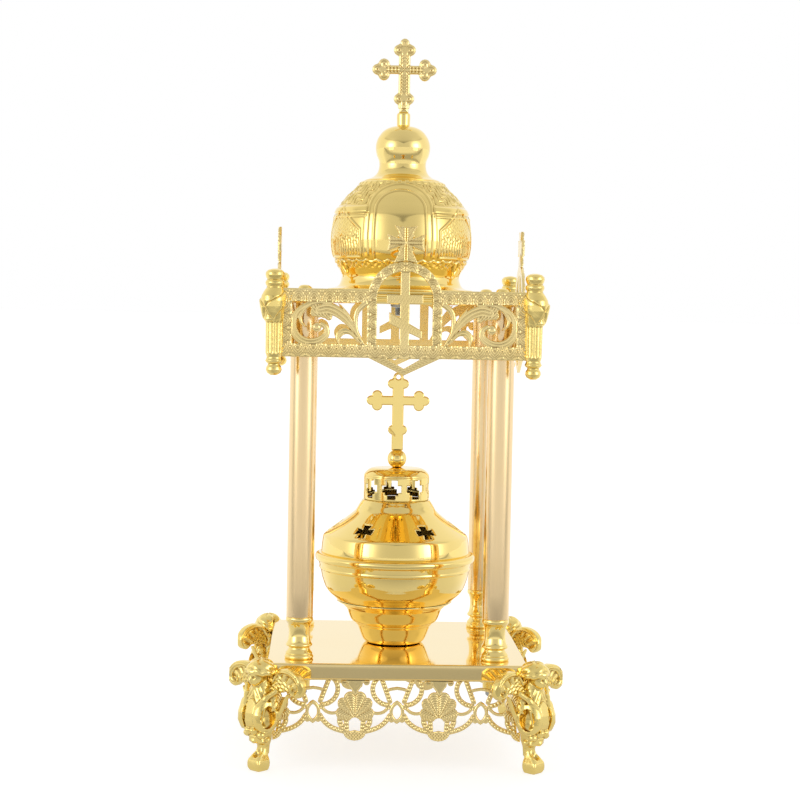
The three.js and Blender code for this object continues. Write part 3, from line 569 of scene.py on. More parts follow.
@dataclass
class Stroke:
    """A stroke of changing width, such as a scroll or a leaf.

    Args:
        points: Rows of (across, up, width).
    """

    points: Points
    line: Array = field(init=False)

    def __post_init__(self) -> None:
        """Run the smooth line."""
        self.line = spline(self.points, 0.6)

    def measure(self, x: Array, z: Array) -> tuple[Array, Array, Array, Array]:
        """Measure places against the stroke.

        Args:
            x: Places across.
            z: Places up.

        Returns:
            Signed distance to the edge, distance aside of the middle line, length along it, half width.
        """
        best = full(np.shape(x), 1e9)
        aside, along, half = zeros(np.shape(x)), zeros(np.shape(x)), np.ones(np.shape(x))
        start = 0.0
        for (ax, az, aw), (bx, bz, bw) in zip(self.line, self.line[1:]):
            ex, ez = bx - ax, bz - az
            length = math.hypot(ex, ez)
            if length < 1e-9:
                continue
            t = clip(((x - ax) * ex + (z - az) * ez) / length ** 2, 0, 1)
            dx, dz = x - ax - t * ex, z - az - t * ez
            width = (aw + t * (bw - aw)) / 2
            apart = hypot(dx, dz)
            closer = apart - width < best
            best = where(closer, apart - width, best)
            aside = where(closer, np.sign(ex * dz - ez * dx) * apart, aside)
            along = where(closer, start + t * length, along)
            half = where(closer, width, half)
            start += length
        return best, aside, along, maximum(half, 0.05)


def rolled(rows: Array, first: Array) -> Array:
    """Corners of triangles, turned so that the given one comes first."""
    return np.take_along_axis(rows, (first[:, None] + arange(3)) % 3, 1).T


def upright(level: float) -> Callable[[Array, Array, Array], Array]:
    """Place of a flat sheet: across on X, up on Z, and its relief forwards from the level."""
    return lambda x, z, h: stack([x, -(level + h), z], -1)


@dataclass
class Sheet:
    """Pierced and embossed sheet work on a lattice of two coordinates.

    Args:
        across: Lowest and highest first coordinate.
        up: Lowest and highest second coordinate.
        cell: Size of the lattice's cells.
        shape: Signed distance to the metal's edge, negative in the metal.
        front: Height of the front at a place.
        place: Turns coordinates and a height into points.
        back: Height of the back; without one it mirrors the front.
        wraps: Whether the first coordinate runs round and meets itself.
    """

    across: tuple[float, float]
    up: tuple[float, float]
    cell: float
    shape: Field
    front: Field
    place: Callable[[Array, Array, Array], Array]
    back: float | None = None
    wraps: bool = False

    def build(self) -> Mesh:
        """Make the mesh.

        Returns:
            Points and triangles.
        """
        columns, rows = (int(round((high - low) / self.cell)) for low, high in (self.across, self.up))
        u = linspace(*self.across, columns + 1)[:columns if self.wraps else None]
        v = linspace(*self.up, rows + 1)
        grid_u, grid_v = np.meshgrid(u, v, indexing="ij")
        grid_u, grid_v, value = self._snap(grid_u, grid_v, self.shape(grid_u, grid_v))
        i, j = np.meshgrid(arange(columns), arange(rows), indexing="ij")
        here, there = i * len(v) + j, ((i + 1) % columns if self.wraps else i + 1) * len(v) + j
        a, b, c, d = (n.ravel() for n in (here, there, there + 1, here + 1))
        flip = ((i + j) % 2 == 0).reshape(-1, 1)
        one = where(flip, stack([a, b, c], 1), stack([a, b, d], 1))
        two = where(flip, stack([a, c, d], 1), stack([b, c, d], 1))
        return self._cut(grid_u.ravel(), grid_v.ravel(), value.ravel(), vstack([one, two]))

    def _snap(self, u: Array, v: Array, value: Array) -> tuple[Array, Array, Array]:
        """Move lattice points that lie close to the edge onto it.

        Args:
            u: First coordinates.
            v: Second coordinates.
            value: Signed distances.

        Returns:
            The three, moved.
        """
        du, dv = (np.gradient(value, axis=axis) / self.cell for axis in (0, 1))
        size = maximum(du * du + dv * dv, 0.25)
        near = np.abs(value) < 0.3 * self.cell
        near[0], near[-1] = False, False
        return where(near, u - value * du / size, u), where(near, v - value * dv / size, v), where(near, 0.0, value)

    def _cut(self, u: Array, v: Array, value: Array, triangles: Array) -> Mesh:
        """Keep the metal, cut the triangles at its edge, and close the sheet with walls.

        Args:
            u: First coordinates.
            v: Second coordinates.
            value: Signed distances.
            triangles: Triangles of the whole lattice.

        Returns:
            Points and triangles.
        """
        many = (value[triangles] > 0).sum(1)
        middle = triangles[many == 0]
        doubtful = np.flatnonzero((value[middle] == 0).all(1))
        if len(doubtful):
            centres = middle[doubtful]
            outside = self.shape(u[centres].mean(1), v[centres].mean(1)) > 0
            middle = np.delete(middle, doubtful[outside], 0)
        one, two = triangles[many == 1], triangles[many == 2]
        p, q, r = rolled(one, np.argmax(value[one] > 0, 1))
        s, t, w = rolled(two, np.argmin(value[two] > 0, 1))
        s, t, w = stack([s, t, w])[:, value[s] < 0]
        total = len(u)
        metal, air = concatenate([q, r, s, s]), concatenate([p, p, t, w])
        crossing = value[metal] != 0
        unique, number = np.unique(metal[crossing].astype(np.int64) * total + air[crossing], return_inverse=True)
        inner, outer = unique // total, unique % total
        share = value[inner] / (value[inner] - value[outer])
        step_u = u[outer] - u[inner]
        if self.wraps:
            span = self.across[1] - self.across[0]
            step_u = (step_u + span / 2) % span - span / 2
        u = concatenate([u, u[inner] + share * step_u])
        v = concatenate([v, v[inner] + share * (v[outer] - v[inner])])
        metal[crossing] = total + number
        qp, rp, st, sw = np.split(metal, np.cumsum([len(p), len(p), len(s)]))
        faces = vstack([middle, stack([q, r, rp], 1), stack([q, rp, qp], 1), stack([s, st, sw], 1)])
        faces = faces[(faces != np.roll(faces, -1, 1)).all(1)]
        used, faces = np.unique(faces, return_inverse=True)
        faces = faces.reshape(-1, 3)
        u, v, size = u[used], v[used], len(used)
        proud = self.front(u, v)
        rear = -proud if self.back is None else full(size, self.back)
        edges = vstack([faces[:, [0, 1]], faces[:, [1, 2]], faces[:, [2, 0]]]).astype(np.int64)
        a, b = edges[~np.isin(edges @ (size, 1), edges @ (1, size))].T
        walls = vstack([stack([b, a, a + size], 1), stack([b, a + size, b + size], 1)])
        points = vstack([self.place(u, v, proud), self.place(u, v, rear)])
        return points, vstack([faces, faces[:, ::-1] + size, walls])


# ---- cast work


def blend(a: Array, b: Array, soft: float) -> Array:
    """Join two bodies with a soft fillet.

    Args:
        a: Signed distances to the first body.
        b: Signed distances to the second body.
        soft: Width of the fillet.

    Returns:
        Signed distances to both.
    """
    h = clip(0.5 + 0.5 * (b - a) / soft, 0, 1)
    return b + (a - b) * h - soft * h * (1 - h)


def carve(a: Array, b: Array, soft: float) -> Array:
    """Take the second body from the first with a soft edge."""
    return -blend(-a, b, soft)


def egg(p: Array, centre: Row, radii: Row) -> Array:
    """Signed distance, nearly, to an egg shape.

    Args:
        p: Places.
        centre: Middle of the egg.
        radii: Its radius along each axis.

    Returns:
        Distances.
    """
    r = asarray(radii, float)
    q = (p - asarray(centre, float)) / r
    near = norm(q, axis=-1)
    return near * (near - 1) / maximum(norm(q / r, axis=-1), 1e-9)


def rod(p: Array, a: Row, b: Row, ra: float, rb: float) -> Array:
    """Signed distance, nearly, to a round rod that changes thickness from one end to the other.

    Args:
        p: Places.
        a: One end.
        b: The other end.
        ra: Radius at the first end.
        rb: Radius at the other end.

    Returns:
        Distances.
    """
    start, run = asarray(a, float), asarray(b, float) - asarray(a, float)
    t = clip((p - start) @ run / (run @ run), 0, 1)
    return norm(p - start - t[..., None] * run, axis=-1) - (ra + t * (rb - ra))


def window(grid: Array, offset: Sequence[int]) -> Array:
    """The part of a grid that starts at an offset of 0 or 1 and is one shorter than the grid."""
    return grid[tuple(slice(start, count - 1 + start) for start, count in zip(offset, grid.shape))]


def cast(shape: Callable[[Array], Array], low: Row, high: Row, cell: float) -> Mesh:
    """Make the surface of a cast body.

    Args:
        shape: Signed distance of points to the body.
        low: Lowest corner of the room it lies in.
        high: Highest corner of that room.
        cell: Size of the cells.

    Returns:
        Points and quads.
    """
    low, high = asarray(low, float), asarray(high, float)
    coarse = 4
    blocks = np.ceil((high - low) / (cell * coarse)).astype(int)
    axes = [low[k] + cell * coarse * arange(blocks[k] + 1) for k in range(3)]
    rough = shape(stack(np.meshgrid(*axes, indexing="ij"), -1).reshape(-1, 3)).reshape(blocks + 1)
    count = blocks * coarse + 1
    live = zeros(count, bool)
    for spot in np.argwhere(np.abs(rough) < 2.2 * cell * coarse) * coarse:
        live[tuple(slice(max(s - coarse, 0), s + coarse + 1) for s in spot)] = True
    sign = np.sign(rough)
    for k in range(3):
        sign = np.repeat(sign, coarse, axis=k)
    sign = sign[:count[0], :count[1], :count[2]]
    value = where(sign == 0, 1, sign) * 10 * cell
    value[live] = shape(low + np.argwhere(live) * cell)
    inside = value < 0
    corners = [array(c) for c in np.ndindex(2, 2, 2)]
    total = sum(window(inside, c).astype(np.int8) for c in corners)
    active = (total > 0) & (total < 8)
    spots = np.argwhere(active)
    number = full(active.shape, -1)
    number[active] = arange(len(spots))
    sums, hits = zeros((len(spots), 3)), zeros(len(spots))
    for c in corners:
        for axis in np.flatnonzero(c == 0):
            d = c.copy()
            d[axis] = 1
            va, vb = window(value, c)[active], window(value, d)[active]
            crossed = (va < 0) != (vb < 0)
            t = where(crossed, va / where(crossed, va - vb, 1), 0)
            sums += where(crossed[:, None], spots + c + t[:, None] * (d - c), 0)
            hits += crossed
    points = low + cell * sums / hits[:, None]
    for _ in range(2):
        base = shape(points)
        slope = stack([shape(points + 0.3 * cell * e) - base for e in np.eye(3)], -1) / (0.3 * cell)
        move = base[:, None] * slope / maximum((slope ** 2).sum(-1), 0.2)[:, None]
        points = points - clip(move, -0.4 * cell, 0.4 * cell)
    quads = []
    for axis, (one, two) in enumerate(((1, 2), (0, 2), (0, 1))):
        near, far = [slice(None)] * 3, [slice(None)] * 3
        near[axis], far[axis] = slice(0, -1), slice(1, None)
        spots = np.argwhere(inside[tuple(near)] != inside[tuple(far)])
        pair = spots[:, [one, two]]
        spots = spots[((pair > 0) & (pair < (count - 1)[[one, two]])).all(1)]
        ring = []
        for step_one, step_two in ((-1, -1), (0, -1), (0, 0), (-1, 0)):
            beside = spots.copy()
            beside[:, one] += step_one
            beside[:, two] += step_two
            ring.append(number[tuple(beside.T)])
        quad = stack(ring, 1)
        forward = inside[tuple(spots.T)] ^ (axis == 1)
        quads.append(where(forward[:, None], quad, quad[:, ::-1]))
    faces = vstack(quads)
    return points, faces[(faces >= 0).all(1)]


def at_corner(points: Array) -> Array:
    """Turn points drawn with X outwards on the diagonal to the front right corner."""
    x, y, z = points.T * [[math.sqrt(0.5)], [math.sqrt(0.5)], [1.0]]
    return stack([x + y, y - x, z], -1)


# ---- plates


def plate_ring(corners: Array, inset: float, radius: float, steps: int = 5) -> Array:
    """Draw a convex outline with rounded corners.

    Args:
        corners: Corners of the outline, counter-clockwise.
        inset: How far the outline is drawn in.
        radius: Radius of its corners.
        steps: Points on each corner.

    Returns:
        Points of the outline.
    """
    count = len(corners)
    out = []
    for i in range(count):
        a, b, c = corners[i - 1], corners[i], corners[(i + 1) % count]
        d1, d2 = (b - a) / norm(b - a), (c - b) / norm(c - b)
        n1, n2 = array([d1[1], -d1[0]]), array([d2[1], -d2[0]])
        bisector = (n1 + n2) / (1 + n1 @ n2)
        centre = b - bisector * (inset + radius)
        start, end = math.atan2(n1[1], n1[0]), math.atan2(n2[1], n2[0])
        sweep = (end - start) % (tau)
        for k in range(steps):
            turned = start + sweep * k / (steps - 1)
            out.append(centre + radius * array([math.cos(turned), math.sin(turned)]))
    return array(out)


def plate(corners: Array, profile: Points, radius: float) -> Mesh:
    """Sweep a profile round a flat outline and close it with flat faces.

    Args:
        corners: Corners of the outline, counter-clockwise.
        profile: Rows of (inset, height), from the top face's edge round to the inner face's edge.
        radius: Radius of the outline's corners.

    Returns:
        Points and faces.
    """
    rings, size = [], 0
    for inset, height in profile:
        ring = plate_ring(corners, inset, max(radius - 0.6 * inset, 0.15))
        size = len(ring)
        rings.append(np.column_stack([ring, full(size, height)]))
    faces = [list(range(size))]
    for i in range(len(rings) - 1):
        for j in range(size):
            k = (j + 1) % size
            faces.append([i * size + j, (i + 1) * size + j, (i + 1) * size + k, i * size + k])
    last = (len(rings) - 1) * size
    faces.append([last + j for j in range(size)][::-1])
    return vstack(rings), faces


@dataclass
class Plates:
    """The base plate and the roof plate, two trays with down-turned rims."""

    side: float = 122.6
    top: float = 50.0
    rim: float = 7.5
    roof_side: float = 118.0
    roof_top: float = 225.0
    roof_rim: float = 6.0
    roof_cut: float = 82.3

    def build(self) -> None:
        """Build and dress both plates."""
        half = self.side / 2
        square = array([[half, -half], [half, half], [-half, half], [-half, -half]])
        top, low = self.top, self.top - self.rim
        profile = [(0.9, top), (0.5, top - 0.08), (0.2, top - 0.3), (0.05, top - 0.65), (0.0, top - 1.2),
                   (0.0, top - 3.5), (0.0, low + 0.95), (0.9, low + 0.9), (0.9, low + 0.3), (0.05, low + 0.25),
                   (0.1, low + 0.05), (0.5, low), (1.1, low + 0.15), (1.2, low + 0.6), (1.2, top - 1.6),
                   (1.6, top - 1.2)]
        make_piece("base_plate", plate(square, profile, 1.4), PLATE_GOLD, crease=30)
        half, cut = self.roof_side / 2, self.roof_cut * math.sqrt(2)
        reach = cut - half
        ring = [[half, -reach], [half, reach], [reach, half], [-reach, half],
                [-half, reach], [-half, -reach], [-reach, -half], [reach, -half]]
        top, low = self.roof_top, self.roof_top - self.roof_rim
        profile = [(1.0, top), (0.5, top - 0.1), (0.15, top - 0.4), (0.0, top - 0.9), (0.15, top - 1.4),
                   (0.75, top - 1.8), (0.8, top - 2.3), (0.35, top - 2.7), (0.3, top - 3.4), (0.75, top - 3.9),
                   (0.8, top - 4.4), (0.35, top - 4.8), (0.3, low + 0.4), (0.6, low), (1.4, low),
                   (1.5, low + 0.4), (1.5, top - 1.6), (1.9, top - 1.2)]
        make_piece("roof_plate", plate(array(ring), profile, 0.8), POLISHED, crease=30)


@dataclass
class Columns:
    """Four columns: a turned base, a satin tube, a domed bolt head and a nut under the plate each."""

    tube_bottom: float = 69.8
    tube_top: float = 223.8
    tube_radius: float = 6.35

    def build(self) -> None:
        """Build and dress all the columns."""
        base = outline([(2.3, 50), (6.5, 50)], [(6.85, 50.5), (6.85, 51.3), (6.5, 51.9)],
                       [(6.35, 52.2), (6.5, 52.5)],
                       [(6.2, 53.1), (5.3, 54.2), (4.95, 55.2), (5.15, 55.8)],
                       [(6.2, 56.1), (6.35, 56.6), (6.2, 57.1), (5.9, 57.4)],
                       [(5.5, 58.4), (5.1, 60.5), (5, 63), (5.2, 65.2), (5.7, 66.8), (6.2, 67.6)],
                       [(6.4, 67.9), (6.4, 69.4), (6.15, 69.8)], [(2.3, 69.8)],
                       round_off=0.12, step=0.3)
        low, high, radius = self.tube_bottom, self.tube_top, self.tube_radius
        tube = outline([(6.15, low), (radius, low + 0.25)], [(radius, high - 0.2)], [(6.1, high)], [(5.55, high)],
                       [(5.55, low)], round_off=0.1, step=12.0)
        head = outline([(0, 33), (2, 33)], [(2, 225)], [(3.2, 225)],
                       [(3.1, 225.7), (2.6, 226.6), (1.5, 227.15), (0, 227.3)],
                       round_off=0.1, step=0.5)
        head = head[(head[:, 1] < 34) | (head[:, 1] > 224)]
        for prefix, profile, finish, steps in (("column_base", base, POLISHED, 96), ("column_tube", tube, SATIN, 96),
                                               ("tie_bolt", head, POLISHED, 48)):
            repeat(prefix, turn(profile, steps), finish, CORNERS, 40, COLUMN_PLACES)
        repeat("tie_nut", nut_mesh(7, 2.3, 32.8, 36), ZINC, CORNERS, 25, COLUMN_PLACES)


@dataclass
class Dome:
    """The dome: a skirt, an embossed shell, a lantern, and the rod, nut and ferrule that hold them."""

    middle: float = -3.3
    repeats: int = 3
    steps: int = 640

    def build(self) -> None:
        """Build and dress the dome."""
        skirt = outline([(35, 225), (36, 225.1)], [(36.1, 225.6), (35.8, 226.1)],
                        [(33, 226.5), (31.2, 227.2), (30.2, 228.2), (29.6, 229.6),
                         (29.15, 231.2), (29.1, 232.2), (29.3, 233)], round_off=0.2, step=0.5)
        lathe("dome_skirt", vstack([skirt, drawn_in(skirt[6:], 0.9), [[34.6, 225.9], [34, 225]]]), POLISHED)
        self._shell()
        bulb = outline([(18.6, 279), (18.8, 279.5), (17.6, 280.1), (15.1, 281.1), (13.4, 282.3), (12.4, 283.6),
                        (11.8, 285.2), (11.5, 287.2)],
                       [(11.6, 288.6), (11.9, 289.8), (12.35, 290.8), (12.8, 291.8), (13.2, 293.4),
                        (13.45, 295.5), (13.35, 297.4), (12.95, 299.1), (12.3, 300.7), (11.4, 302.1), (10.3, 303.5),
                        (8.4, 305), (5.4, 306.2), (3, 306.4)], round_off=0.3, step=0.5)
        inner = drawn_in(bulb, 0.8)
        lathe("dome_lantern", vstack([bulb, inner[inner[:, 0] > 2.8]]), POLISHED)
        ferrule = outline([(1.9, 306.4), (3, 306.4)], [(3, 306.4), (3.2, 306.9), (3.2, 308.1)],
                          [(3.2, 308.1), (3.25, 312), (3, 312.8), (2.4, 313)], [(2.4, 313), (0, 313)],
                          [(0, 311.3), (1.9, 311.3)], round_off=0.15, step=0.4, whole=True)
        lathe("cross_ferrule", ferrule, POLISHED, 64)
        self._hardware()

    def _hardware(self) -> None:
        """Build the threaded rod, its nut and its washer."""
        thread = [(0, 213.1), (1.7, 213.1)]
        level = 213.5
        while level < 216.9:
            thread += [(2.45, level), (2.15, level + 0.35)]
            level += 0.7
        thread += [(2.45, 217.2), (2.45, 306.1), (1.6, 306.1), (1.6, 311), (0, 311)]
        lathe("dome_rod", array(thread), ZINC, 40, crease=20)
        washer = outline([(2.8, 221.9), (5.9, 221.9)], [(6, 222.8), (5.9, 223.8)],
                         [(2.8, 223.8)], round_off=0.15)
        lathe("dome_washer", washer, ZINC, 48)
        make_piece("dome_nut", nut_mesh(8, 2.75, 217.2, 221.9), ZINC, crease=25)

    def _shell(self) -> None:
        """Build the embossed shell."""
        outer = outline([(29.2, 233), (30.4, 235.5), (31.6, 238.2), (33, 241.2), (33.9, 244.3), (34.3, 248),
                         (34.35, 251.5), (34.1, 255), (33.6, 259), (32.9, 262.5), (31.6, 265.5), (29.9, 268),
                         (27.6, 271), (24.6, 273.9), (22.4, 276.2), (20.9, 278.2)],
                        [(20.3, 278.9), (19.4, 279.2), (17, 279.2), (15.6, 279.2)],
                        round_off=0.3, step=0.34)
        inner = drawn_in(outer, 0.9, 4.0)
        heights = concatenate([outer[:, 1], zeros(len(inner))])
        radii = concatenate([outer[:, 0], np.ones(len(inner))])
        shell = turn(vstack([outer, inner]), self.steps, lambda angle, row: where(
            row < len(outer), self._relief(angle, heights[row], radii[row]), 0.0))
        make_piece("dome_shell", shell, EMBOSSED, crease=50)

    def _relief(self, angle: Array, z: Array, r: Array) -> Array:
        """How far the shell's face stands proud.

        Args:
            angle: Angles round the axis, from the front.
            z: Heights.
            r: Radii.

        Returns:
            Relief in millimetres.
        """
        period = tau / self.repeats
        turned = angle - math.radians(self.middle)
        part = nearest(turned, period)
        x = 33.0 * sin(clip(part, -1.2, 1.2)) * minimum(r / 32.6, 1.0)
        side = np.abs(part) * 33.5
        body = zeros(np.shape(z))
        # Arch
        spring = 263.6
        inner_arch, outer_arch = (
            (where(z > spring, hypot(x / half, (z - spring) / tall), np.abs(x) / half) - 1) * scale
            for half, tall, scale in ((12.3, 10.2, 11.5), (15.4, 13.6, 14.5)))
        body += 0.42 * rib(inner_arch, 0.55) * (z > 240.5)
        body += 0.3 * rib(outer_arch, 0.5) * (z > spring - 1)
        # Ledge between the arches
        ledge = clip((z - 262.4) / 0.7, 0, 1) * clip((266.4 - z) / 1.2, 0, 1)
        body += 0.75 * ledge * clip((outer_arch - 0.4) / 0.7, 0, 1)
        body += 0.3 * rib(z - 260.9, 0.5) * (outer_arch > 0.6)
        # Pilaster beside the arch
        pilaster = clip((side - 15.4) / 0.5, 0, 1) * clip((18.3 - side) / 0.5, 0, 1)
        body += 0.4 * pilaster * (z < 262.5) * (z > 241.5)
        # Gabled niche between the pilasters
        slope = minimum(side - 19.6, (254.8 + 0.72 * (side - 19.6) - z) * 0.81)
        niche = minimum(slope, z - 240.8)
        body += 0.5 * rib(niche - 0.5, 0.6)
        fill = clip((niche - 1.2) / 0.5, 0, 1)
        streak = sin(side * 3.3 + 0.9 * sin(z * 0.8)) * clip((252.5 - z) / 3.0, 0, 1)
        leafy = (sin(side * 2.6 + 1.1 * sin(z * 1.7)) * sin(z * 2.1 + 1.3 * sin(side * 1.4)))
        body += fill * (0.17 * streak + 0.13 * leafy * clip((z - 246) / 4.0, 0.25, 1))
        # Sweeping leaves in the spandrels
        spandrel = clip((outer_arch - 1.0) / 0.5, 0, 1) * clip((z - 266.8) / 0.5, 0, 1)
        spandrel = spandrel * clip((277.2 - z) / 0.5, 0, 1)
        girth = np.abs(part) * 27.0
        drift = girth * 0.85 - z * 1.1
        across = girth * 1.1 + z * 0.55 + 1.3 * sin(drift * 0.8)
        sweep = sin(across * 1.7) * (0.65 + 0.35 * sin(drift * 1.5 + 1.4 * sin(across * 0.8)))
        body += spandrel * (0.3 * sweep + 0.1 * cos(across * 5.1))
        # Dashes round the upper edge
        dash = clip(sin(turned * 36) * 3 + 1.2, 0, 1)
        body += 0.3 * dash * rib(z - 277.9, 0.7)
        # Lower band with a wavy hem of small blooms
        hem = z - 240.0 + 0.9 * np.abs(sin(turned * 18))
        body += 0.38 * rib(hem, 0.6)
        bloom = (sin(turned * 54) * sin(z * 1.9 + sin(turned * 27)))
        body += 0.24 * bloom * clip((z - 235.5) / 1.5, 0, 1) * clip((240.2 - z) / 0.8, 0, 1)
        # Pointed drops
        centre = (np.abs(part) - period / 2) * 30.5
        width = interp(z, [233.4, 234.4, 235.6, 237.4, 239.2, 240.4], [0.05, 1.2, 2.1, 2.5, 2, 0.05])
        leaf = (width - np.abs(centre)) * 0.9
        return where(leaf > 0, 0.15 + 0.7 * rib(leaf - 0.55, 0.6), body)


def nut_mesh(across: float, bore: float, bottom: float, top: float) -> Mesh:
    """Make a hexagon nut with a chamfer and a bore.

    Args:
        across: Width across its flats.
        bore: Radius of the bore.
        bottom: Height of its lower face.
        top: Height of its upper face.

    Returns:
        Points and faces.
    """
    steps = 48
    angle = tau * arange(steps) / steps
    hexagon = across / 2 / cos(nearest(angle, pi / 3))
    chamfer = minimum(hexagon, across / 2 * 1.06)
    face, hole = full(steps, across / 2 * 0.96), full(steps, bore)
    rings = [(hole, bottom), (face, bottom), (chamfer, bottom + 0.35), (hexagon, bottom + 0.7),
             (hexagon, top - 0.7), (chamfer, top - 0.35), (face, top), (hole, top)]
    points = vstack([stack([r * sin(angle), -r * cos(angle), full(steps, h)], -1) for r, h in rings])
    faces = []
    for i in range(len(rings)):
        n = (i + 1) % len(rings)
        faces += [[i * steps + j, i * steps + (j + 1) % steps, n * steps + (j + 1) % steps, n * steps + j]
                  for j in range(steps)]
    return points, faces


# ---- crosses


@dataclass
class BuddedCross:
    """A flat cross whose ends carry three buds each, made in the XZ plane about y = 0."""

    bottom: float
    top: float
    span: float
    arm_level: float
    shaft: float
    bar: float
    soft: float = 0.35

    def shape(self, x: Array, z: Array, lower: Sequence[tuple[float, float, float]], buds: Array) -> Array:
        """Signed distance to the outline.

        Args:
            x: Places across.
            z: Places up.
            lower: Extra discs of (x, z, radius) on both sides.
            buds: Rows of (x, z, radius) for one side.

        Returns:
            Distances.
        """
        reach = self.span / 2 - 3.0
        body = in_box(x, z, -self.shaft / 2, self.bottom, self.shaft / 2, self.top - 3.0)
        bar = in_box(x, z, -reach, self.arm_level - self.bar / 2, reach, self.arm_level + self.bar / 2)
        body = blend(body, bar, 0.5)
        for bx, bz, radius in [*buds, *lower]:
            body = blend(body, in_disc(np.abs(x), z, bx, bz, radius), self.soft)
        return body


@dataclass
class Crosses:
    """The tooled cross on the dome and the polished cross on the lid."""

    def build(self) -> None:
        """Build and dress both crosses."""
        self._top_cross()
        self._lid_cross()

    def _top_cross(self) -> None:
        """Build the tooled cross on the dome."""
        cross = BuddedCross(313, 349.6, 32.1, 334.2, 5.6, 4.2, 0.9)
        buds = [(0, 347.3, 2.2), (2.7, 343.8, 2.7), (13.3, 334.2, 2.6), (10.1, 336.8, 2.75), (10.1, 331.6, 2.75),
                (0, 344, 3.2), (11, 334.2, 3.2)]
        lower = [(2.3, 319.9, 2.7), (0, 317.4, 2.3), (0, 320.4, 3.4)]

        def shape(x: Array, z: Array) -> Array:
            """Signed distance to the outline."""
            body = cross.shape(x, maximum(z, 315.4), lower, buds)
            return blend(where(z < 315.4, hypot(maximum(body, 0), 315.4 - z), body),
                         in_box(x, z, -2.3, 313.05, 2.3, 316.5), 0.4)

        def height(x: Array, z: Array) -> Array:
            """Height of the tooled face: a bevelled rim, pitted buds, and ribbed bars.

            Args:
                x: Places across.
                z: Places up.

            Returns:
                Heights.
            """
            edge, ax = -shape(x, z), np.abs(x)
            proud = 0.5 + 0.5 * sin(pi / 2 * clip(edge / 0.85, 0, 1)) - 0.28 * rib(edge - 1.25, 0.5)
            pits = full(np.shape(x), 9.0)
            for bx, bz, _ in [*buds[:5], *lower[:2]]:
                pits = minimum(pits, hypot((ax - bx) * 0.9, z - bz))
            proud += 0.14 * rib(pits, 1.6) - 0.42 * rib(pits, 0.55)
            up = np.abs(z - 334.2)
            shaft = (ax < 1.9) & (up > 2.4) & (z > 322.5) & (z < 341.5)
            proud += where(shaft, 0.14 * cos((up + 0.8 * ax) * tau / 1.7) + 0.12 * rib(ax, 0.5), 0)
            bar = (ax > 2.4) & (ax < 8.6) & (up < 1.4)
            proud += where(bar, 0.14 * cos((ax + 0.8 * up) * tau / 1.7) + 0.12 * rib(up, 0.5), 0)
            return proud - where((ax < 2.6) & (up < 2.6), 0.3 * rib(ax - up, 0.4), 0)

        sheet = Sheet((-16.6, 16.6), (312.4, 350.2), 0.2, shape, height, upright(0.0))
        make_piece("top_cross", sheet.build(), STAMPED, crease=60)

    def _lid_cross(self) -> None:
        """Build the polished cross on the lid."""
        cross = BuddedCross(146.1, 185.1, 31.4, 170.8, 5.7, 4.6)
        buds = [(0, 182.4, 2.55), (2.9, 179.2, 2.4), (13.3, 170.8, 2.4), (10.4, 173.3, 2.6), (10.4, 168.3, 2.6),
                (0, 179.2, 2.4)]
        slant = Stroke([(-4.4, 157.2, 0.5), (-1.2, 153.4, 0.5)])

        def shape(x: Array, z: Array) -> Array:
            """Signed distance to the outline, with the ring's hole."""
            body = blend(cross.shape(x, z, [], buds), in_disc(np.abs(x), z, 2.35, 156.2, 2.4), 0.35)
            return maximum(body, 1.15 - hypot(x, z - 182.6))

        def height(x: Array, z: Array) -> Array:
            """Height of the polished face, with a slanting cut over the foot."""
            cut = rib(slant.measure(x, z)[1], 0.34) * (x < -1.2) * (z < 157.4) * (z > 153.2)
            return 1.0 - 0.4 * (1 - clip(-shape(x, z) / 0.5, 0, 1)) ** 2 - 0.28 * cut

        sheet = Sheet((-16.4, 16.4), (145.4, 185.9), 0.22, shape, height, upright(0.0))
        make_piece("lid_cross", sheet.build(), POLISHED, Body.LID, 60)


# ---- frieze


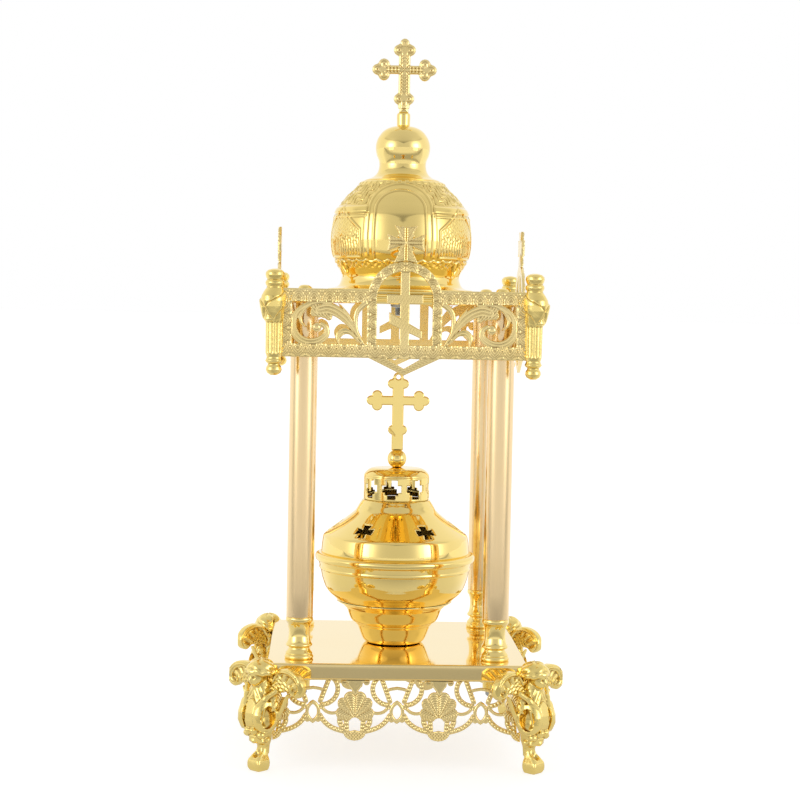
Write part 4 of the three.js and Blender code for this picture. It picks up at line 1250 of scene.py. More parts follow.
@dataclass
class Frieze:
    """The pierced and tooled panels round the roof: borders, scrolls, an arch with a cross in it."""

    face: float = 61.0
    thickness: float = 1.9
    half: float = 57.5
    bottom: float = 193.7
    top: float = 225.6
    border: float = 6.3
    end_border: float = 5.0
    arch_half: float = 17.5
    arch_inner: float = 13.0
    arch_centre: float = 221.3
    pitch: float = 7.2
    cell: float = 0.3

    # Scroll work of one half
    strokes = (
        Stroke([(34.3, 219.4, 1.8), (40.4, 219.3, 2.4), (45.6, 217.8, 2.8), (49.8, 214.8, 3.1), (51.7, 210.9, 3.4),
                (51.8, 207, 3.6), (50, 203.2, 3.9), (46.6, 200.9, 4.1), (42.7, 200.5, 4), (38.8, 201.9, 3.7),
                (36.3, 204.7, 3.1), (36.8, 207.7, 2.6), (38.8, 209.2, 2)]),
        Stroke([(43.4, 218.3, 0.9), (47, 215.7, 1.7), (48.7, 212.4, 2), (48, 209.6, 1.5), (45.5, 207.5, 0.3)]),
        Stroke([(18.2, 199, 0.9), (21.3, 203.7, 2), (24.3, 208.2, 3.3), (27.9, 212.2, 4.3), (31.8, 215.1, 5),
                (36.1, 216.5, 5.2), (39.5, 215.8, 4.3)]),
        Stroke([(19, 198.8, 0.8), (22.5, 202.8, 1.5), (25.6, 205.6, 2.3), (28.6, 205.9, 3.3), (30.8, 203.5, 2.7),
                (30.6, 199.4, 0.8)]),
        Stroke([(23.9, 208.8, 2.2), (26.6, 213.5, 1.7), (30, 218.2, 0.4)]),
        Stroke([(18.8, 199.6, 0.9), (22.2, 205.8, 1.8), (22.9, 211.4, 2.2), (22.1, 215.3, 2.5), (19.6, 218.1, 2.7),
                (17.2, 219.5, 2.2)]),
    )
    lobes = ((41.5, 216.6, 2.3), (42.2, 214.4, 2), (39.9, 213.9, 1.9), (37.4, 213.6, 1.8), (35.3, 212.4, 1.6))
    ball = (40.9, 207.6, 2.25)

    def _frame(self, x: Array, z: Array) -> Array:
        """Signed distance to the borders and the arch, for x on one side.

        Args:
            x: Places across.
            z: Places up.

        Returns:
            Distances.
        """
        band = in_box(x, z, -self.half, self.bottom, self.half, self.top)
        room = in_box(x, z, self.arch_half - 0.3, self.bottom + self.border, self.half - self.end_border,
                      self.top - self.border)
        centre = self.arch_centre
        arch, inner = (minimum(in_box(x, z, -half, low, half, centre), in_disc(x, z, 0, centre, half))
                       for half, low in ((self.arch_half, self.bottom), (self.arch_inner, self.bottom + self.border)))
        body = maximum(minimum(maximum(band, -room), arch), -inner)
        drop = in_polygon(x, z, [(-17.8, self.bottom + 0.6), (0, 185.75), (17.8, self.bottom + 0.6)])
        body = minimum(body, drop)
        hole = in_polygon(x, z, [(-7.8, 193.5), (0, 188.9), (7.8, 193.5)])
        return maximum(body, -hole)

    def _scrolls(self, x: Array, z: Array) -> Array:
        """Signed distance to the scroll work, for x on one side.

        Args:
            x: Places across.
            z: Places up.

        Returns:
            Distances.
        """
        body = full(np.shape(x), 99.0)
        for stroke in self.strokes:
            body = minimum(body, stroke.measure(x, z)[0])
        for cx, cz, radius in [*self.lobes, self.ball]:
            body = blend(body, in_disc(x, z, cx, cz, radius), 0.5)
        return body

    def _cross(self, x: Array, z: Array) -> Array:
        """Signed distance to the cross in the arch. Its lower bar slants, so x has its sign here.

        Args:
            x: Places across.
            z: Places up.

        Returns:
            Distances.
        """
        shaft = in_box(x, z, -2.2, self.bottom + 4, 2.2, 235.0)
        upper = in_box(x, z, -8.5, 219.2, 8.5, 223.5)
        slant = in_polygon(x, z, [(-7.2, 209.8), (8.2, 202.8), (8.2, 206.7), (-7.2, 215.3)])
        return minimum(minimum(shaft, upper), slant)

    def _finial(self, x: Array, z: Array) -> tuple[Array, Array, Array]:
        """Signed distance to the flared cross on the arch, with its own turned coordinates.

        Args:
            x: Places across.
            z: Places up.

        Returns:
            Distances, and the places across and up from the cross's middle.
        """
        ax, az = np.abs(x), z - 247.6
        up = where(az > 0, 8.1, 9.4)
        arm_up = in_polygon(ax, np.abs(az) * (8.1 / up), [(0, 0), (1.5, 0.6), (5.6, 8.1), (0, 7.3)])
        arm_side = in_polygon(ax, np.abs(az), [(0, 0), (0.6, 1.3), (8.85, 4.1), (8, 0)])
        rays = minimum(in_polygon(ax, np.abs(az), [(0, 0), (3, 4.3), (4.3, 3)]), 9.0)
        return minimum(minimum(arm_up, arm_side), rays), ax, az

    def shape(self, x: Array, z: Array) -> Array:
        """Signed distance to the whole panel.

        Args:
            x: Places across.
            z: Places up.

        Returns:
            Distances.
        """
        ax = np.abs(x)
        body = minimum(self._frame(ax, z), self._cross(x, z))
        low = (z < 222) & (ax > 14)
        body = where(low, minimum(body, self._scrolls(ax, z)), body)
        return minimum(body, self._finial(x, z)[0])

    def _scales(self, across: Array, up: Array, tall: float, half: float) -> Array:
        """Nested pointed arches with a dot in each and dots between.

        Args:
            across: Distance from the nearest arch's middle, with its sign.
            up: Height over the arches' feet.
            tall: Height of the arches.
            half: Half their width.

        Returns:
            Height of the tooling, from 0 to 1.
        """
        shift = (tall ** 2 - half ** 2) / (2 * half)
        far = hypot(np.abs(across) + shift, up) - (shift + half)
        lines = clip(0.85 + 1.25 * cos((far + 0.1) * tau / 1.02), 0, 1)
        band = (far < 0.05) & (far > -2.3)
        tooling = where(band, 0.3 + 0.7 * lines, where(far > 0.05, -1.2, 0.15))
        dot = rib(hypot(across, up - 1.1), 0.85)
        between = rib(hypot(half - np.abs(across), up - tall + 0.75), 0.85)
        return maximum(maximum(tooling, dot), between)

    def front(self, x: Array, z: Array) -> Array:
        """Height of the face in front of the sheet's middle plane.

        Args:
            x: Places across.
            z: Places up.

        Returns:
            Heights.
        """
        ax = np.abs(x)
        edge = -self.shape(x, z)
        part = nearest(ax - 20.7, self.pitch)
        upper = self._scales(part, z - (self.top - self.border), 5.9, 3.6)
        lower = maximum(self._scales(part, (self.bottom + self.border) - z, 5.9, 3.6), 0.05)
        endwise = (z - 196.9 + 3.4) % 6.8 - 3.4
        ends = self._scales(endwise, self.half - ax, 4.6, 3.2)
        legs = self._scales(endwise, ax - self.arch_inner, 4.2, 3.2)
        turned = arctan2(z - self.arch_centre, ax) * 15.2
        spread = (turned + 3.5) % 6.85 - 3.425
        ring = self._scales(spread, hypot(ax, z - self.arch_centre) - self.arch_inner, 4.2, 3.3)
        tooling = full(np.shape(x), 0.55)
        for own, height in (
                (z > self.top - self.border, upper), (z < self.bottom + self.border, lower),
                ((ax > self.half - self.end_border) & (np.abs(z - 209.65) < 9.6), ends),
                ((ax > self.arch_inner) & (ax < self.arch_half) & (z < self.arch_centre) & (z > 200.0), legs),
                ((z >= self.arch_centre) & (np.abs(hypot(ax, z - self.arch_centre) - 15.25) < 2.3), ring),
                (z < self.bottom, 0.5 + 0.3 * cos((ax * 0.41 + (z - 185.75) * 0.91) * 5.2))):
            tooling = where(own, height, tooling)
        proud = 0.58 + 0.3 * tooling
        in_cross = (self._cross(x, z) < 0) & (z < 234)
        proud = where(in_cross, 0.74 + 0.05 * sin(x * 5.1 + 2 * sin(z * 3.3)) * sin(z * 5.7 + x), proud)
        proud = self._scroll_face(ax, z, proud)
        proud = self._finial_face(x, z, proud)
        return proud - 0.3 * clip(1 - edge / 0.28, 0, 1) ** 2

    def _scroll_face(self, ax: Array, z: Array, proud: Array) -> Array:
        """Round and engrave the scroll work.

        Args:
            ax: Places across, without sign.
            z: Places up.
            proud: Heights before.

        Returns:
            Heights after.
        """
        room = (ax > self.arch_half) & (ax < self.half - self.end_border) & (np.abs(z - 209.65) < 9.7)
        face = full(np.shape(ax), 0.3)
        for order, stroke in enumerate(self.strokes):
            far, aside, along, half = stroke.measure(ax, z)
            share = clip(np.abs(aside) / half, 0, 1)
            dome = sqrt(clip(1 - 0.7 * share ** 2, 0, 1))
            lines = clip(half / 0.95, 1.0, 4.6)
            veins = clip(1.1 + 1.5 * cos(aside / half * pi * lines), 0, 1)
            height = 0.4 + 0.42 * dome + 0.13 * veins + 0.03 * (order == 2)
            face = where(far < 0.0, maximum(face, height), face)
        for cx, cz, radius in self.lobes:
            far = hypot(ax - cx, z - cz)
            folds = clip(1.1 + 1.5 * cos((ax * 0.75 - z * 0.66) * tau / 1.15), 0, 1)
            leaf = 0.34 + 0.3 * sqrt(clip(1 - (far / radius) ** 2, 0, 1)) + 0.2 * folds
            face = where(far < radius, maximum(face, leaf), face)
        far = hypot(ax - self.ball[0], z - self.ball[1])
        bead = 0.45 + 0.6 * sqrt(clip(1 - (far / self.ball[2]) ** 2, 0, 1)) - 0.25 * rib(far - 1.5, 0.35)
        face = where(far < self.ball[2], maximum(face, bead), face)
        return where(room, minimum(face, 1.15), proud)

    def _finial_face(self, x: Array, z: Array, proud: Array) -> Array:
        """Ridge and tool the flared cross.

        Args:
            x: Places across.
            z: Places up.
            proud: Heights before.

        Returns:
            Heights after.
        """
        far, ax, az = self._finial(x, z)
        spine, length = minimum(ax, np.abs(az)), maximum(ax, np.abs(az))
        chevron = 0.5 + 0.5 * cos((length - 0.7 * spine) * tau / 1.15)
        face = 0.5 + 0.3 * rib(spine, 0.5) + 0.14 * chevron + 0.28 * rib(-far - 0.35, 0.4)
        face = maximum(face, 0.6 + 0.5 * rib(hypot(ax, az), 1.3))
        own = (far < 0) & (z > 239.2)
        return where(own, face, proud)

    def build(self) -> None:
        """Build and dress the four panels."""
        sheet = Sheet((-58.2, 58.2), (185.1, 256.5), self.cell, self.shape, self.front, upright(self.face - 1.15),
                      1.15 - self.thickness)
        repeat("frieze_panel", sheet.build(), STAMPED, SIDES, 60)


# ---- apron


@dataclass
class Apron:
    """The pierced strips under the plate's rim: beaded loops, ovals and ribbed shells."""

    face: float = 60.1
    thickness: float = 1.1
    rim: float = 42.5
    lap: float = 4.5
    pitch: float = 39.6
    half: float = 58.5
    lap_half: float = 54.3
    web_room: float = 35.7
    cell: float = 0.22

    # Strokes of half a repeat, from an oval to a shell
    bead, bar, middle = 2.3, 1.5, pitch / 2
    beaded = (
        Stroke([(3.4, 32.0, bead), (5.3, 37.0, bead), (7.4, 42.6, bead)]),
        Stroke([(9.4, 43.0, bead), (11.2, 40.0, bead), (11.5, 36.6, bead), (10.0, 33.2, bead),
                (7.3, 31.0, bead), (4.6, 30.2, bead)]),
        Stroke([(3.4, 25.2, bead), (5.2, 22.4, bead), (8.0, 20.0, bead), (11.2, 18.5, bead), (14.6, 17.6, bead)]),
        Stroke([(middle - 7.0, 24.6, 2.4), (middle - 7.0, 22.0, 2.6), (middle - 5.8, 19.6, 2.4),
                (middle - 4.0, 18.0, 2.0)]),
        Stroke([(middle - 4.2, 24.2, 2.6), (middle - 3.9, 21.4, 2.3), (middle - 3.6, 18.0, 2.2)]),
    )
    plain = (
        Stroke([(0.0, 38.3, bar), (3.6, 37.6, bar), (5.3, 36.6, bar)]),
        Stroke([(4.4, 28.6, bar), (6.4, 26.9, bar), (9.0, 26.2, bar), (12.6, 26.8, bar)]),
    )
    stem = ((-1, 42.6), (6.9, 42.6), (6.3, 41.4), (3.6, 40.9), (3.3, 39.2), (1.8, 37.4), (0, 34.4), (-1, 34.4))
    lobe_ends = (0, 29, 57, 100)
    lobe_notches = (12.1, 11.4, 9.3, 6.4)
    shell_foot = 23.8

    def _shell(self, s: Array, z: Array) -> tuple[Array, Array, Array]:
        """Measure places against the ribbed shell.

        Args:
            s: Distance from the shell's middle, without sign.
            z: Height.

        Returns:
            Signed distance, distance from the shell's foot, place across a lobe from 0 to 1.
        """
        tilt = np.degrees(arctan2(s, z - self.shell_foot))
        far = hypot(s, z - self.shell_foot)
        lobe = clip(np.searchsorted(self.lobe_ends, tilt, side="right") - 1, 0, 2)
        ends = asarray(self.lobe_ends)
        share = clip((tilt - ends[lobe]) / (ends[lobe + 1] - ends[lobe]), 0, 1)
        reach = interp(tilt, self.lobe_ends, self.lobe_notches) - 0.35 + 1.6 * sin(pi * share) ** 0.7
        fan = (far - reach) * 0.9
        return where(tilt > 100.0, maximum(fan, self.shell_foot - 1.1 - z), fan), far, share

    def _half(self, x: Array) -> tuple[Array, Array]:
        """Distance from the nearest oval's middle, without sign, and from the nearest shell's."""
        part = np.abs(nearest(x, self.pitch))
        return part, self.pitch / 2 - part

    def _lens(self, u: Array, z: Array, half: float, tall: float) -> Array:
        """Signed distance to a pointed oval."""
        radius = (half * half + tall * tall) / (2 * half)
        return hypot(u + radius - half, z - 26.9) - radius

    def _drop(self, s: Array, z: Array) -> Array:
        """Signed distance to the woven drop under a shell.

        Args:
            s: Distance from the shell's middle.
            z: Places up.

        Returns:
            Distances.
        """
        below = hypot(s / 5.2, (z - 16.9) / 3.7) - 1
        above = (z - 18.2 + 0.24 * s) * 0.95
        return where(z < 16.9, below * 3.8, maximum(above, s - 5.2))

    def shape(self, x: Array, z: Array) -> Array:
        """Signed distance to the strip.

        Args:
            x: Places across.
            z: Places up.

        Returns:
            Distances.
        """
        u, s = self._half(x)
        body = in_box(x, z, -self.lap_half, self.rim - 0.7, self.lap_half, self.rim + self.lap)
        for stroke in [*self.beaded, *self.plain]:
            body = minimum(body, stroke.measure(u, z)[0])
        for piece in (self._lens(u, z, 3.5, 5.6), in_disc(u, z, 2.5, 23.2, 1.3), self._shell(s, z)[0],
                      in_disc(u, z, 4.1, 29.5, 1.4), in_polygon(s, z, self.stem), in_disc(s, z, 5.3, 41.0, 1.5)):
            body = minimum(body, piece)
        opening = minimum(in_box(s, z, -3, 17.0, 2.5, 21.6), in_disc(s, z * 0.95 + 1.08, 0, 21.6, 2.5))
        body = maximum(body, -opening)
        body = minimum(body, self._drop(s, z))
        body = maximum(body, -self._lens(u, z, 1.95, 3.5))
        ends = maximum(np.abs(x) - self.half, minimum(np.abs(x) - self.lap_half, z - self.web_room))
        return maximum(body, ends)

    def front(self, x: Array, z: Array) -> Array:
        """Height of the face.

        Args:
            x: Places across.
            z: Places up.

        Returns:
            Heights.
        """
        u, s = self._half(x)
        proud = full(np.shape(x), 0.45)
        lens = self._lens(u, z, 2.7, 4.5)
        proud = where(self._lens(u, z, 3.5, 5.6) < 0, 0.45 + 0.25 * rib(lens, 0.7), proud)
        for stroke in self.plain:
            far, aside, _, _ = stroke.measure(u, z)
            proud = where(far < 0, 0.42 + 0.35 * rib(aside, 1.0), proud)
        for stroke in self.beaded:
            far, aside, along, _ = stroke.measure(u, z)
            bead = rib(hypot(aside, (along % 1.72) - 0.86), 0.8)
            rail = rib(np.abs(aside) - 1.0, 0.25)
            proud = where(far < 0, 0.42 + 0.5 * bead + 0.14 * rail, proud)
        fan, far, share = self._shell(s, z)
        arcs = clip(0.9 + 1.2 * cos(far * (1 + 0.8 * (share - 0.5) ** 2) * tau / 1.2), 0, 1)
        crest = sin(pi * share) ** 0.6
        own = (fan < 0) & (z > self.shell_foot - 0.4)
        proud = where(own, 0.35 + 0.42 * crest + 0.2 * arcs * clip(far / 4, 0, 1), proud)
        stem = in_polygon(s, z, self.stem)
        proud = where(stem < 0, 0.85 + 0.15 * rib(-stem - 0.3, 0.3), proud)
        weave = (cos((s + z * 0.9) * 4.2) + cos((s - z * 0.9) * 4.2)) * 0.25 + 0.5
        proud = where(self._drop(s, z) < 0, 0.4 + 0.45 * weave, proud)
        edge = -self.shape(x, z)
        proud -= 0.3 * clip(1 - edge / 0.3, 0, 1) ** 2
        return where(z > self.rim - 0.5, minimum(proud, 0.3), proud)

    def build(self) -> None:
        """Build and dress the four strips."""
        sheet = Sheet((-59.2, 59.2), (12.6, 47.6), self.cell, self.shape, self.front, upright(self.face - 1.0),
                      1.0 - self.thickness)
        repeat("apron", sheet.build(), STAMPED, SIDES, 60)


# ---- consoles and feet


@dataclass
class Consoles:
    """The turned and leafed consoles at the corners of the frieze."""

    reach: float = 121.0 / math.sqrt(2)
    bottom: float = 185.0
    top: float = 234.4

    def shape(self, p: Array) -> Array:
        """Signed distance to one console, drawn on its own axis with X outwards.

        Args:
            p: Places, X outwards on the diagonal, Y aside and Z up.

        Returns:
            Distances.
        """
        x, y, z = p[..., 0] - self.reach, p[..., 1], p[..., 2]
        heights = [184.6, 185, 186, 187.4, 188.8, 189.7, 190.3, 190.9, 191.7, 192.6, 193.4, 195.2, 211, 225.2,
                   226.2, 226.8, 227.8, 228.8, 229.4, 230.2, 231.6, 232.8, 233.8, 234.4, 234.8]
        radii = [-0.5, 1.6, 3.1, 3.75, 3.5, 2.9, 2.75, 3.6, 4.1, 3.6, 3.4, 3.95, 4.1, 3.9,
                 3.8, 4.2, 4.5, 4.2, 3.6, 4.1, 4.5, 4.3, 3.3, 1.2, -0.5]
        girth = hypot(x, y)
        turned = np.abs(np.degrees(arctan2(y, x)))
        outward = (1 + cos(np.radians(turned))) / 2
        bulge = interp(z, [209.6, 211.6, 214, 217, 219.8, 222, 224, 225.6],
                       [0, 0.9, 1.7, 2.5, 2.9, 2.5, 1.3, 0])
        wall = interp(z, heights, radii) + bulge * outward
        # Leaf edges: a middle leaf over two side leaves, each lapping the next
        first = interp(z, [210, 211.5, 213.5, 216.5, 218.6, 221, 223, 225],
                       [40, 31, 12, 1, 16, 52, 100, 150])
        second = interp(z, [211, 212.5, 215, 217.5, 219], [44, 52, 70, 112, 170])
        leafed = clip((z - 210.4) / 0.8, 0, 1) * clip((225.4 - z) / 0.8, 0, 1)
        side = (turned - first) * 0.09
        lap = 0.7 * self._ease(side / 1.1 + 0.2) - 0.6 * self._ease((turned - second) * 0.09 / 1.1 + 0.5)
        wall = wall + leafed * (lap - 0.28 * rib(side, 0.6))
        lip = hypot(hypot(x - 2.6, y) - 2.4, (z - 211.2) * 0.8) - 0.7
        fluted = clip((z - 194.6) / 1.5, 0, 1) * clip((210.8 - z) / 1.5, 0, 1)
        wall = wall - 0.38 * rib(np.abs((turned + 16) % 32 - 16) * 0.07, 0.5) * fluted
        body = (girth - wall) * 0.75
        body = maximum(body, maximum(self.bottom - z, z - self.top))
        return blend(body, maximum(lip, -x), 0.9)

    def _ease(self, share: Array) -> Array:
        """Smooth step from 0 to 1."""
        share = clip(share, 0, 1)
        return share * share * (3 - 2 * share)

    def build(self) -> None:
        """Build and dress the four consoles."""
        points, faces = cast(self.shape, (self.reach - 7, -8, 184.2), (self.reach + 9, 8, 235.2), 0.3)
        repeat("corner_console", (at_corner(points), faces), CAST, CORNERS, 70)


@dataclass
class Feet:
    """The cast feet: a winged bust over a scrolled leg with a square shoe."""

    corner: float = 86.7

    def _ribbon(self, p: Array, points: Points, level: float, thick: float) -> tuple[Array, Array]:
        """A flat ribbon in the plane across the diagonal.

        Args:
            p: Places, X outwards, Y aside and Z up.
            points: Rows of (aside, up, width) of its middle line.
            level: Its place on the diagonal.
            thick: Its thickness.

        Returns:
            Signed distance, distance aside of the middle line.
        """
        far, aside, _, half = Stroke(points).measure(p[..., 1], p[..., 2])
        bulge = thick / 2 * sqrt(clip(1 - 0.6 * clip(np.abs(aside) / half, 0, 1) ** 2, 0, 1))
        depth = np.abs(p[..., 0] - level) - bulge
        out, deep = far + 0.5, depth + 0.5
        body = hypot(maximum(out, 0), maximum(deep, 0)) + minimum(maximum(out, deep), 0) - 0.5
        return body, aside

    def shape(self, p: Array) -> Array:
        """Signed distance to the foot, drawn with X outwards on the diagonal.

        Args:
            p: Places, X outwards on the diagonal, Y aside and Z up.

        Returns:
            Distances.
        """
        q = stack([p[..., 0] - self.corner, np.abs(p[..., 1]), p[..., 2]], -1)
        body = blend(self._leg(q), self._shoe(q), 0.8)
        body = self._drapery(q, body)
        body = self._wings(q, body)
        body = self._head(q, body)
        return self._room(q, body)

    def _leg(self, q: Array) -> Array:
        """Signed distance to the torso, belly, haunch, cuff and ankle.

        Args:
            q: Places from the foot's corner, Y without sign.

        Returns:
            Distances.
        """
        x, y, z = q.T
        levels = [8, 10.8, 12.4, 13.4, 14.6, 16.4, 18, 20.5, 24, 28, 33, 38, 42, 44]
        front = interp(z, levels, [4, 4.1, 4.6, 7.4, 8.6, 8.8, 8.5, 9.6, 10.8, 10.6, 9.2, 7.9, 6.2, 4.8])
        half = interp(z, levels, [2.4, 2.45, 3, 3.7, 4.3, 4.5, 4.8, 6, 7.2, 7.2, 6.2, 5.6, 4.9, 3.8])
        back = interp(z, levels, [-0.8, -0.9, -1.1, -1.3, -1.4, -1.5, -1.5, -1.6, -1.7, -1.8, -1.8, -1.8, -1.4, 0])
        reach = (front - back) / 2
        square = ((np.abs(x - (front + back) / 2) / reach) ** 3 + (y / half) ** 3) ** (1 / 3)
        body = (square - 1) * minimum(reach, half) * 0.8
        body = maximum(body, maximum(8.0 - z, z - 44.0))
        for place, size in (((9.2, 1.8, 19.4), 2.0), ((7.6, 4.5, 17.8), 2.0), ((7.6, 0, 14.6), 1.6),
                            ((6, 3.2, 14.4), 1.5), ((3.2, 4.2, 14.8), 1.4)):
            body = blend(body, egg(q, place, (size, size, size * 0.9)), 0.4)
        return body

    def _shoe(self, q: Array) -> Array:
        """Signed distance to the squared shoe with its hollow instep.

        Args:
            q: Places from the foot's corner, Y without sign.

        Returns:
            Distances.
        """
        x, y, z = q.T
        middle = interp(z, [0, 1.5, 5.2, 7, 8.6, 10.8], [4.3, 4.6, 4.5, 3.9, 2.7, 1.6])
        half = interp(z, [0, 0.8, 2, 3.6, 5.2, 7, 8.6, 10.8], [3.1, 3.6, 3.95, 4.05, 3.85, 3.1, 2.7, 2.4])
        power = interp(z, [5.4, 9], [9, 2.2])
        square = ((np.abs(x - middle) / half) ** power + (y / half) ** power) ** (1 / power)
        shoe = maximum((square - 1) * half * 0.8, z - 10.8)
        return carve(shoe, egg(q, (6.6, 0, 9.2), (2.7, 2.2, 3)), 0.5)

    def _drapery(self, q: Array, body: Array) -> Array:
        """Add the loops, hollows, front panel and folds to the body.

        Args:
            q: Places from the foot's corner, Y without sign.
            body: Distances so far.

        Returns:
            Distances after.
        """
        x, y, z = q.T
        folds = cos((z * 0.8 + y * 1.15) * 2.1) * clip((z - 33.5) / 2, 0, 1) * clip((41.5 - z) / 2, 0, 1)
        body = body - 0.17 * folds
        groove = maximum(np.abs(y - 3.7) - 0.6, np.abs(z - 26.4) - 6.4)
        body = maximum(body, -maximum(groove, -(body + 0.9)))
        panel = maximum(maximum(y - 2.9, z - 34.4 + 0.28 * y * y), maximum(19.8 - z, 5.0 - x))
        body = blend(body, maximum(body - 0.6, panel), 0.3)
        oval = hypot((x - 6.9) / 4.7, (z - 26.4) / 6.4)
        loop = maximum(body - 1.7, maximum(np.abs(oval - 1) * 5.4 - 0.9, 3.6 - y))
        body = carve(body, egg(q, (6.9, 8.2, 26.4), (3.9, 4.3, 5.4)), 0.4)
        body = blend(body, loop, 0.4)
        body = blend(body, rod(q, (7.8, 4.4, 22.4), (6.4, 4.9, 30), 0.7, 1.0), 0.5)
        for start, end in (((3.4, 9.8, 38.6), (6.6, 6.6, 35.4)), ((6.6, 6.6, 35.4), (9.6, 4.4, 31.4))):
            body = blend(body, rod(q, start, end, 1.3, 1.1), 0.9)
        body = carve(body, egg(q, (9.6, 0, 37.2), (1.4, 1, 1.9)), 0.4)
        hip = egg(q, (2.6, 7.2, 32.6), (2.8, 2.4, 5))
        body = blend(body, hip - 0.25 * cos((x * 1.1 + z * 0.8) * 2.0), 0.8)
        blade, aside = self._ribbon(q, [(5, 19.6, 1), (7.8, 24.6, 1.7), (10.6, 29.6, 2.1), (13, 33.8, 2),
                                        (14.8, 37, 0.7)], 0.6, 2.2)
        return blend(body, blade - 0.25 * rib(aside, 0.6), 0.5)

    def _wings(self, q: Array, body: Array) -> Array:
        """Add the fans of small feathers, each with a rolled rim.

        Args:
            q: Places from the foot's corner, Y without sign.
            body: Distances so far.

        Returns:
            Distances after.
        """
        x, y, z = q.T
        level = 1.2 - 0.1 * clip(y - 5, 0, 30)
        fan = in_polygon(y, z, [(4.4, 36), (5.4, 41), (8.4, 45.6), (12, 47.6), (16, 47.6), (20, 46.2),
                                (23, 43.4), (24.2, 40.6), (23.2, 38.2), (20.4, 37.2), (17, 38.2), (14, 38.4),
                                (11, 37.2), (8, 37.4)])
        far = hypot(y - 8.5, z - 35.0)
        turned = arctan2(z - 35.0, y - 8.5)
        beads = 0.24 * cos(far * tau / 2.0) * cos(turned * 10) * clip((10.5 - far) / 1.0, 0, 1)
        quills = 0.26 * cos(turned * 22) * clip((far - 10.0) / 1.0, 0, 1)
        thick = 1.3 + 0.45 * clip(-fan / 1.2, 0, 1) + beads + quills
        blade = maximum(fan + 0.4, np.abs(x - level) - thick)
        body = blend(body, blade, 0.5)
        rim, aside = self._ribbon(q, [(6, 42, 1.6), (8.6, 45.8, 2.2), (12.2, 47.6, 2.6), (16.4, 47.6, 2.8),
                                      (20.6, 46, 3), (23.2, 42.8, 3), (23, 39.4, 2.8), (20.4, 37.8, 2.4),
                                      (18.2, 39.2, 2), (18.6, 41.4, 1.6)], 0.4, 4.6)
        return blend(body, rim - 0.22 * cos(aside * tau / 1.3), 0.4)

    def _head(self, q: Array, body: Array) -> Array:
        """Add the neck and a calm, bowed head under a thick roll of hair.

        Args:
            q: Places from the foot's corner, Y without sign.
            body: Distances so far.

        Returns:
            Distances after.
        """
        x, y, z = q.T
        body = blend(body, rod(q, (4, 0, 38), (5, 0, 43), 4.0, 3.4), 1.4)
        head = egg(q, (6.6, 0, 44.6), (4.3, 4, 4.8))
        head = carve(head, egg(q, (10.6, 1.7, 44.6), (0.9, 1, 0.7)), 0.5)
        head = blend(head, egg(q, (10.6, 0, 43.4), (0.8, 0.65, 1.2)), 0.6)
        head = blend(head, egg(q, (9.7, 0, 41.6), (0.8, 1, 0.4)), 0.4)
        crown = egg(q, (3.9, 0, 48.2), (6.6, 6.6, 4.6))
        swirl = arctan2(y, x - 3.9) * 2.4 + (z - 46.0) * 0.55
        crown = crown - 0.28 * cos(swirl * 2.0)
        ring = hypot(hypot(x - 4.0, y) - 5.7, (z - 46.4 - 0.14 * (x - 4.0)) * 0.9) - 1.5
        ring = ring - 0.2 * cos(arctan2(y, x - 4.0) * 9 + z * 1.2)
        hair = blend(crown, ring, 0.4)
        return blend(body, blend(head, hair, 0.3), 0.6)

    def _room(self, q: Array, body: Array) -> Array:
        """Keep clear of the plate and strips, keep inside the object's box, and add the lug for the bolt.

        Args:
            q: Places from the foot's corner, Y without sign.
            body: Distances so far.

        Returns:
            Distances after.
        """
        x, y, z = q.T
        out = (x + y) * math.sqrt(0.5)
        body = maximum(body, out + self.corner * math.sqrt(0.5) - 79.7)
        body = maximum(body, -maximum(out - 0.3, 42.2 - z))
        body = maximum(body, -0.9 - out)
        lug_reach = 66.04 - self.corner
        web = maximum(maximum(lug_reach - x, x - 3.0), maximum(y - 2.95, np.abs(z - 39.1) - 3.05))
        far = hypot(x - lug_reach, y)
        lug = maximum(far - 5.45, np.abs(z - 42.4) - 6.35)
        body = minimum(body, maximum(minimum(web, lug), 2.3 - far))
        return maximum(body, -z)

    def build(self) -> None:
        """Build and dress the four feet."""
        c = self.corner
        points, faces = cast(self.shape, (c - 27.0, -26.4, -0.6), (c + 14.5, 26.4, 54.5), 0.42)
        repeat("foot", (at_corner(points), faces), CAST, CORNERS, 70)


# ---- censer


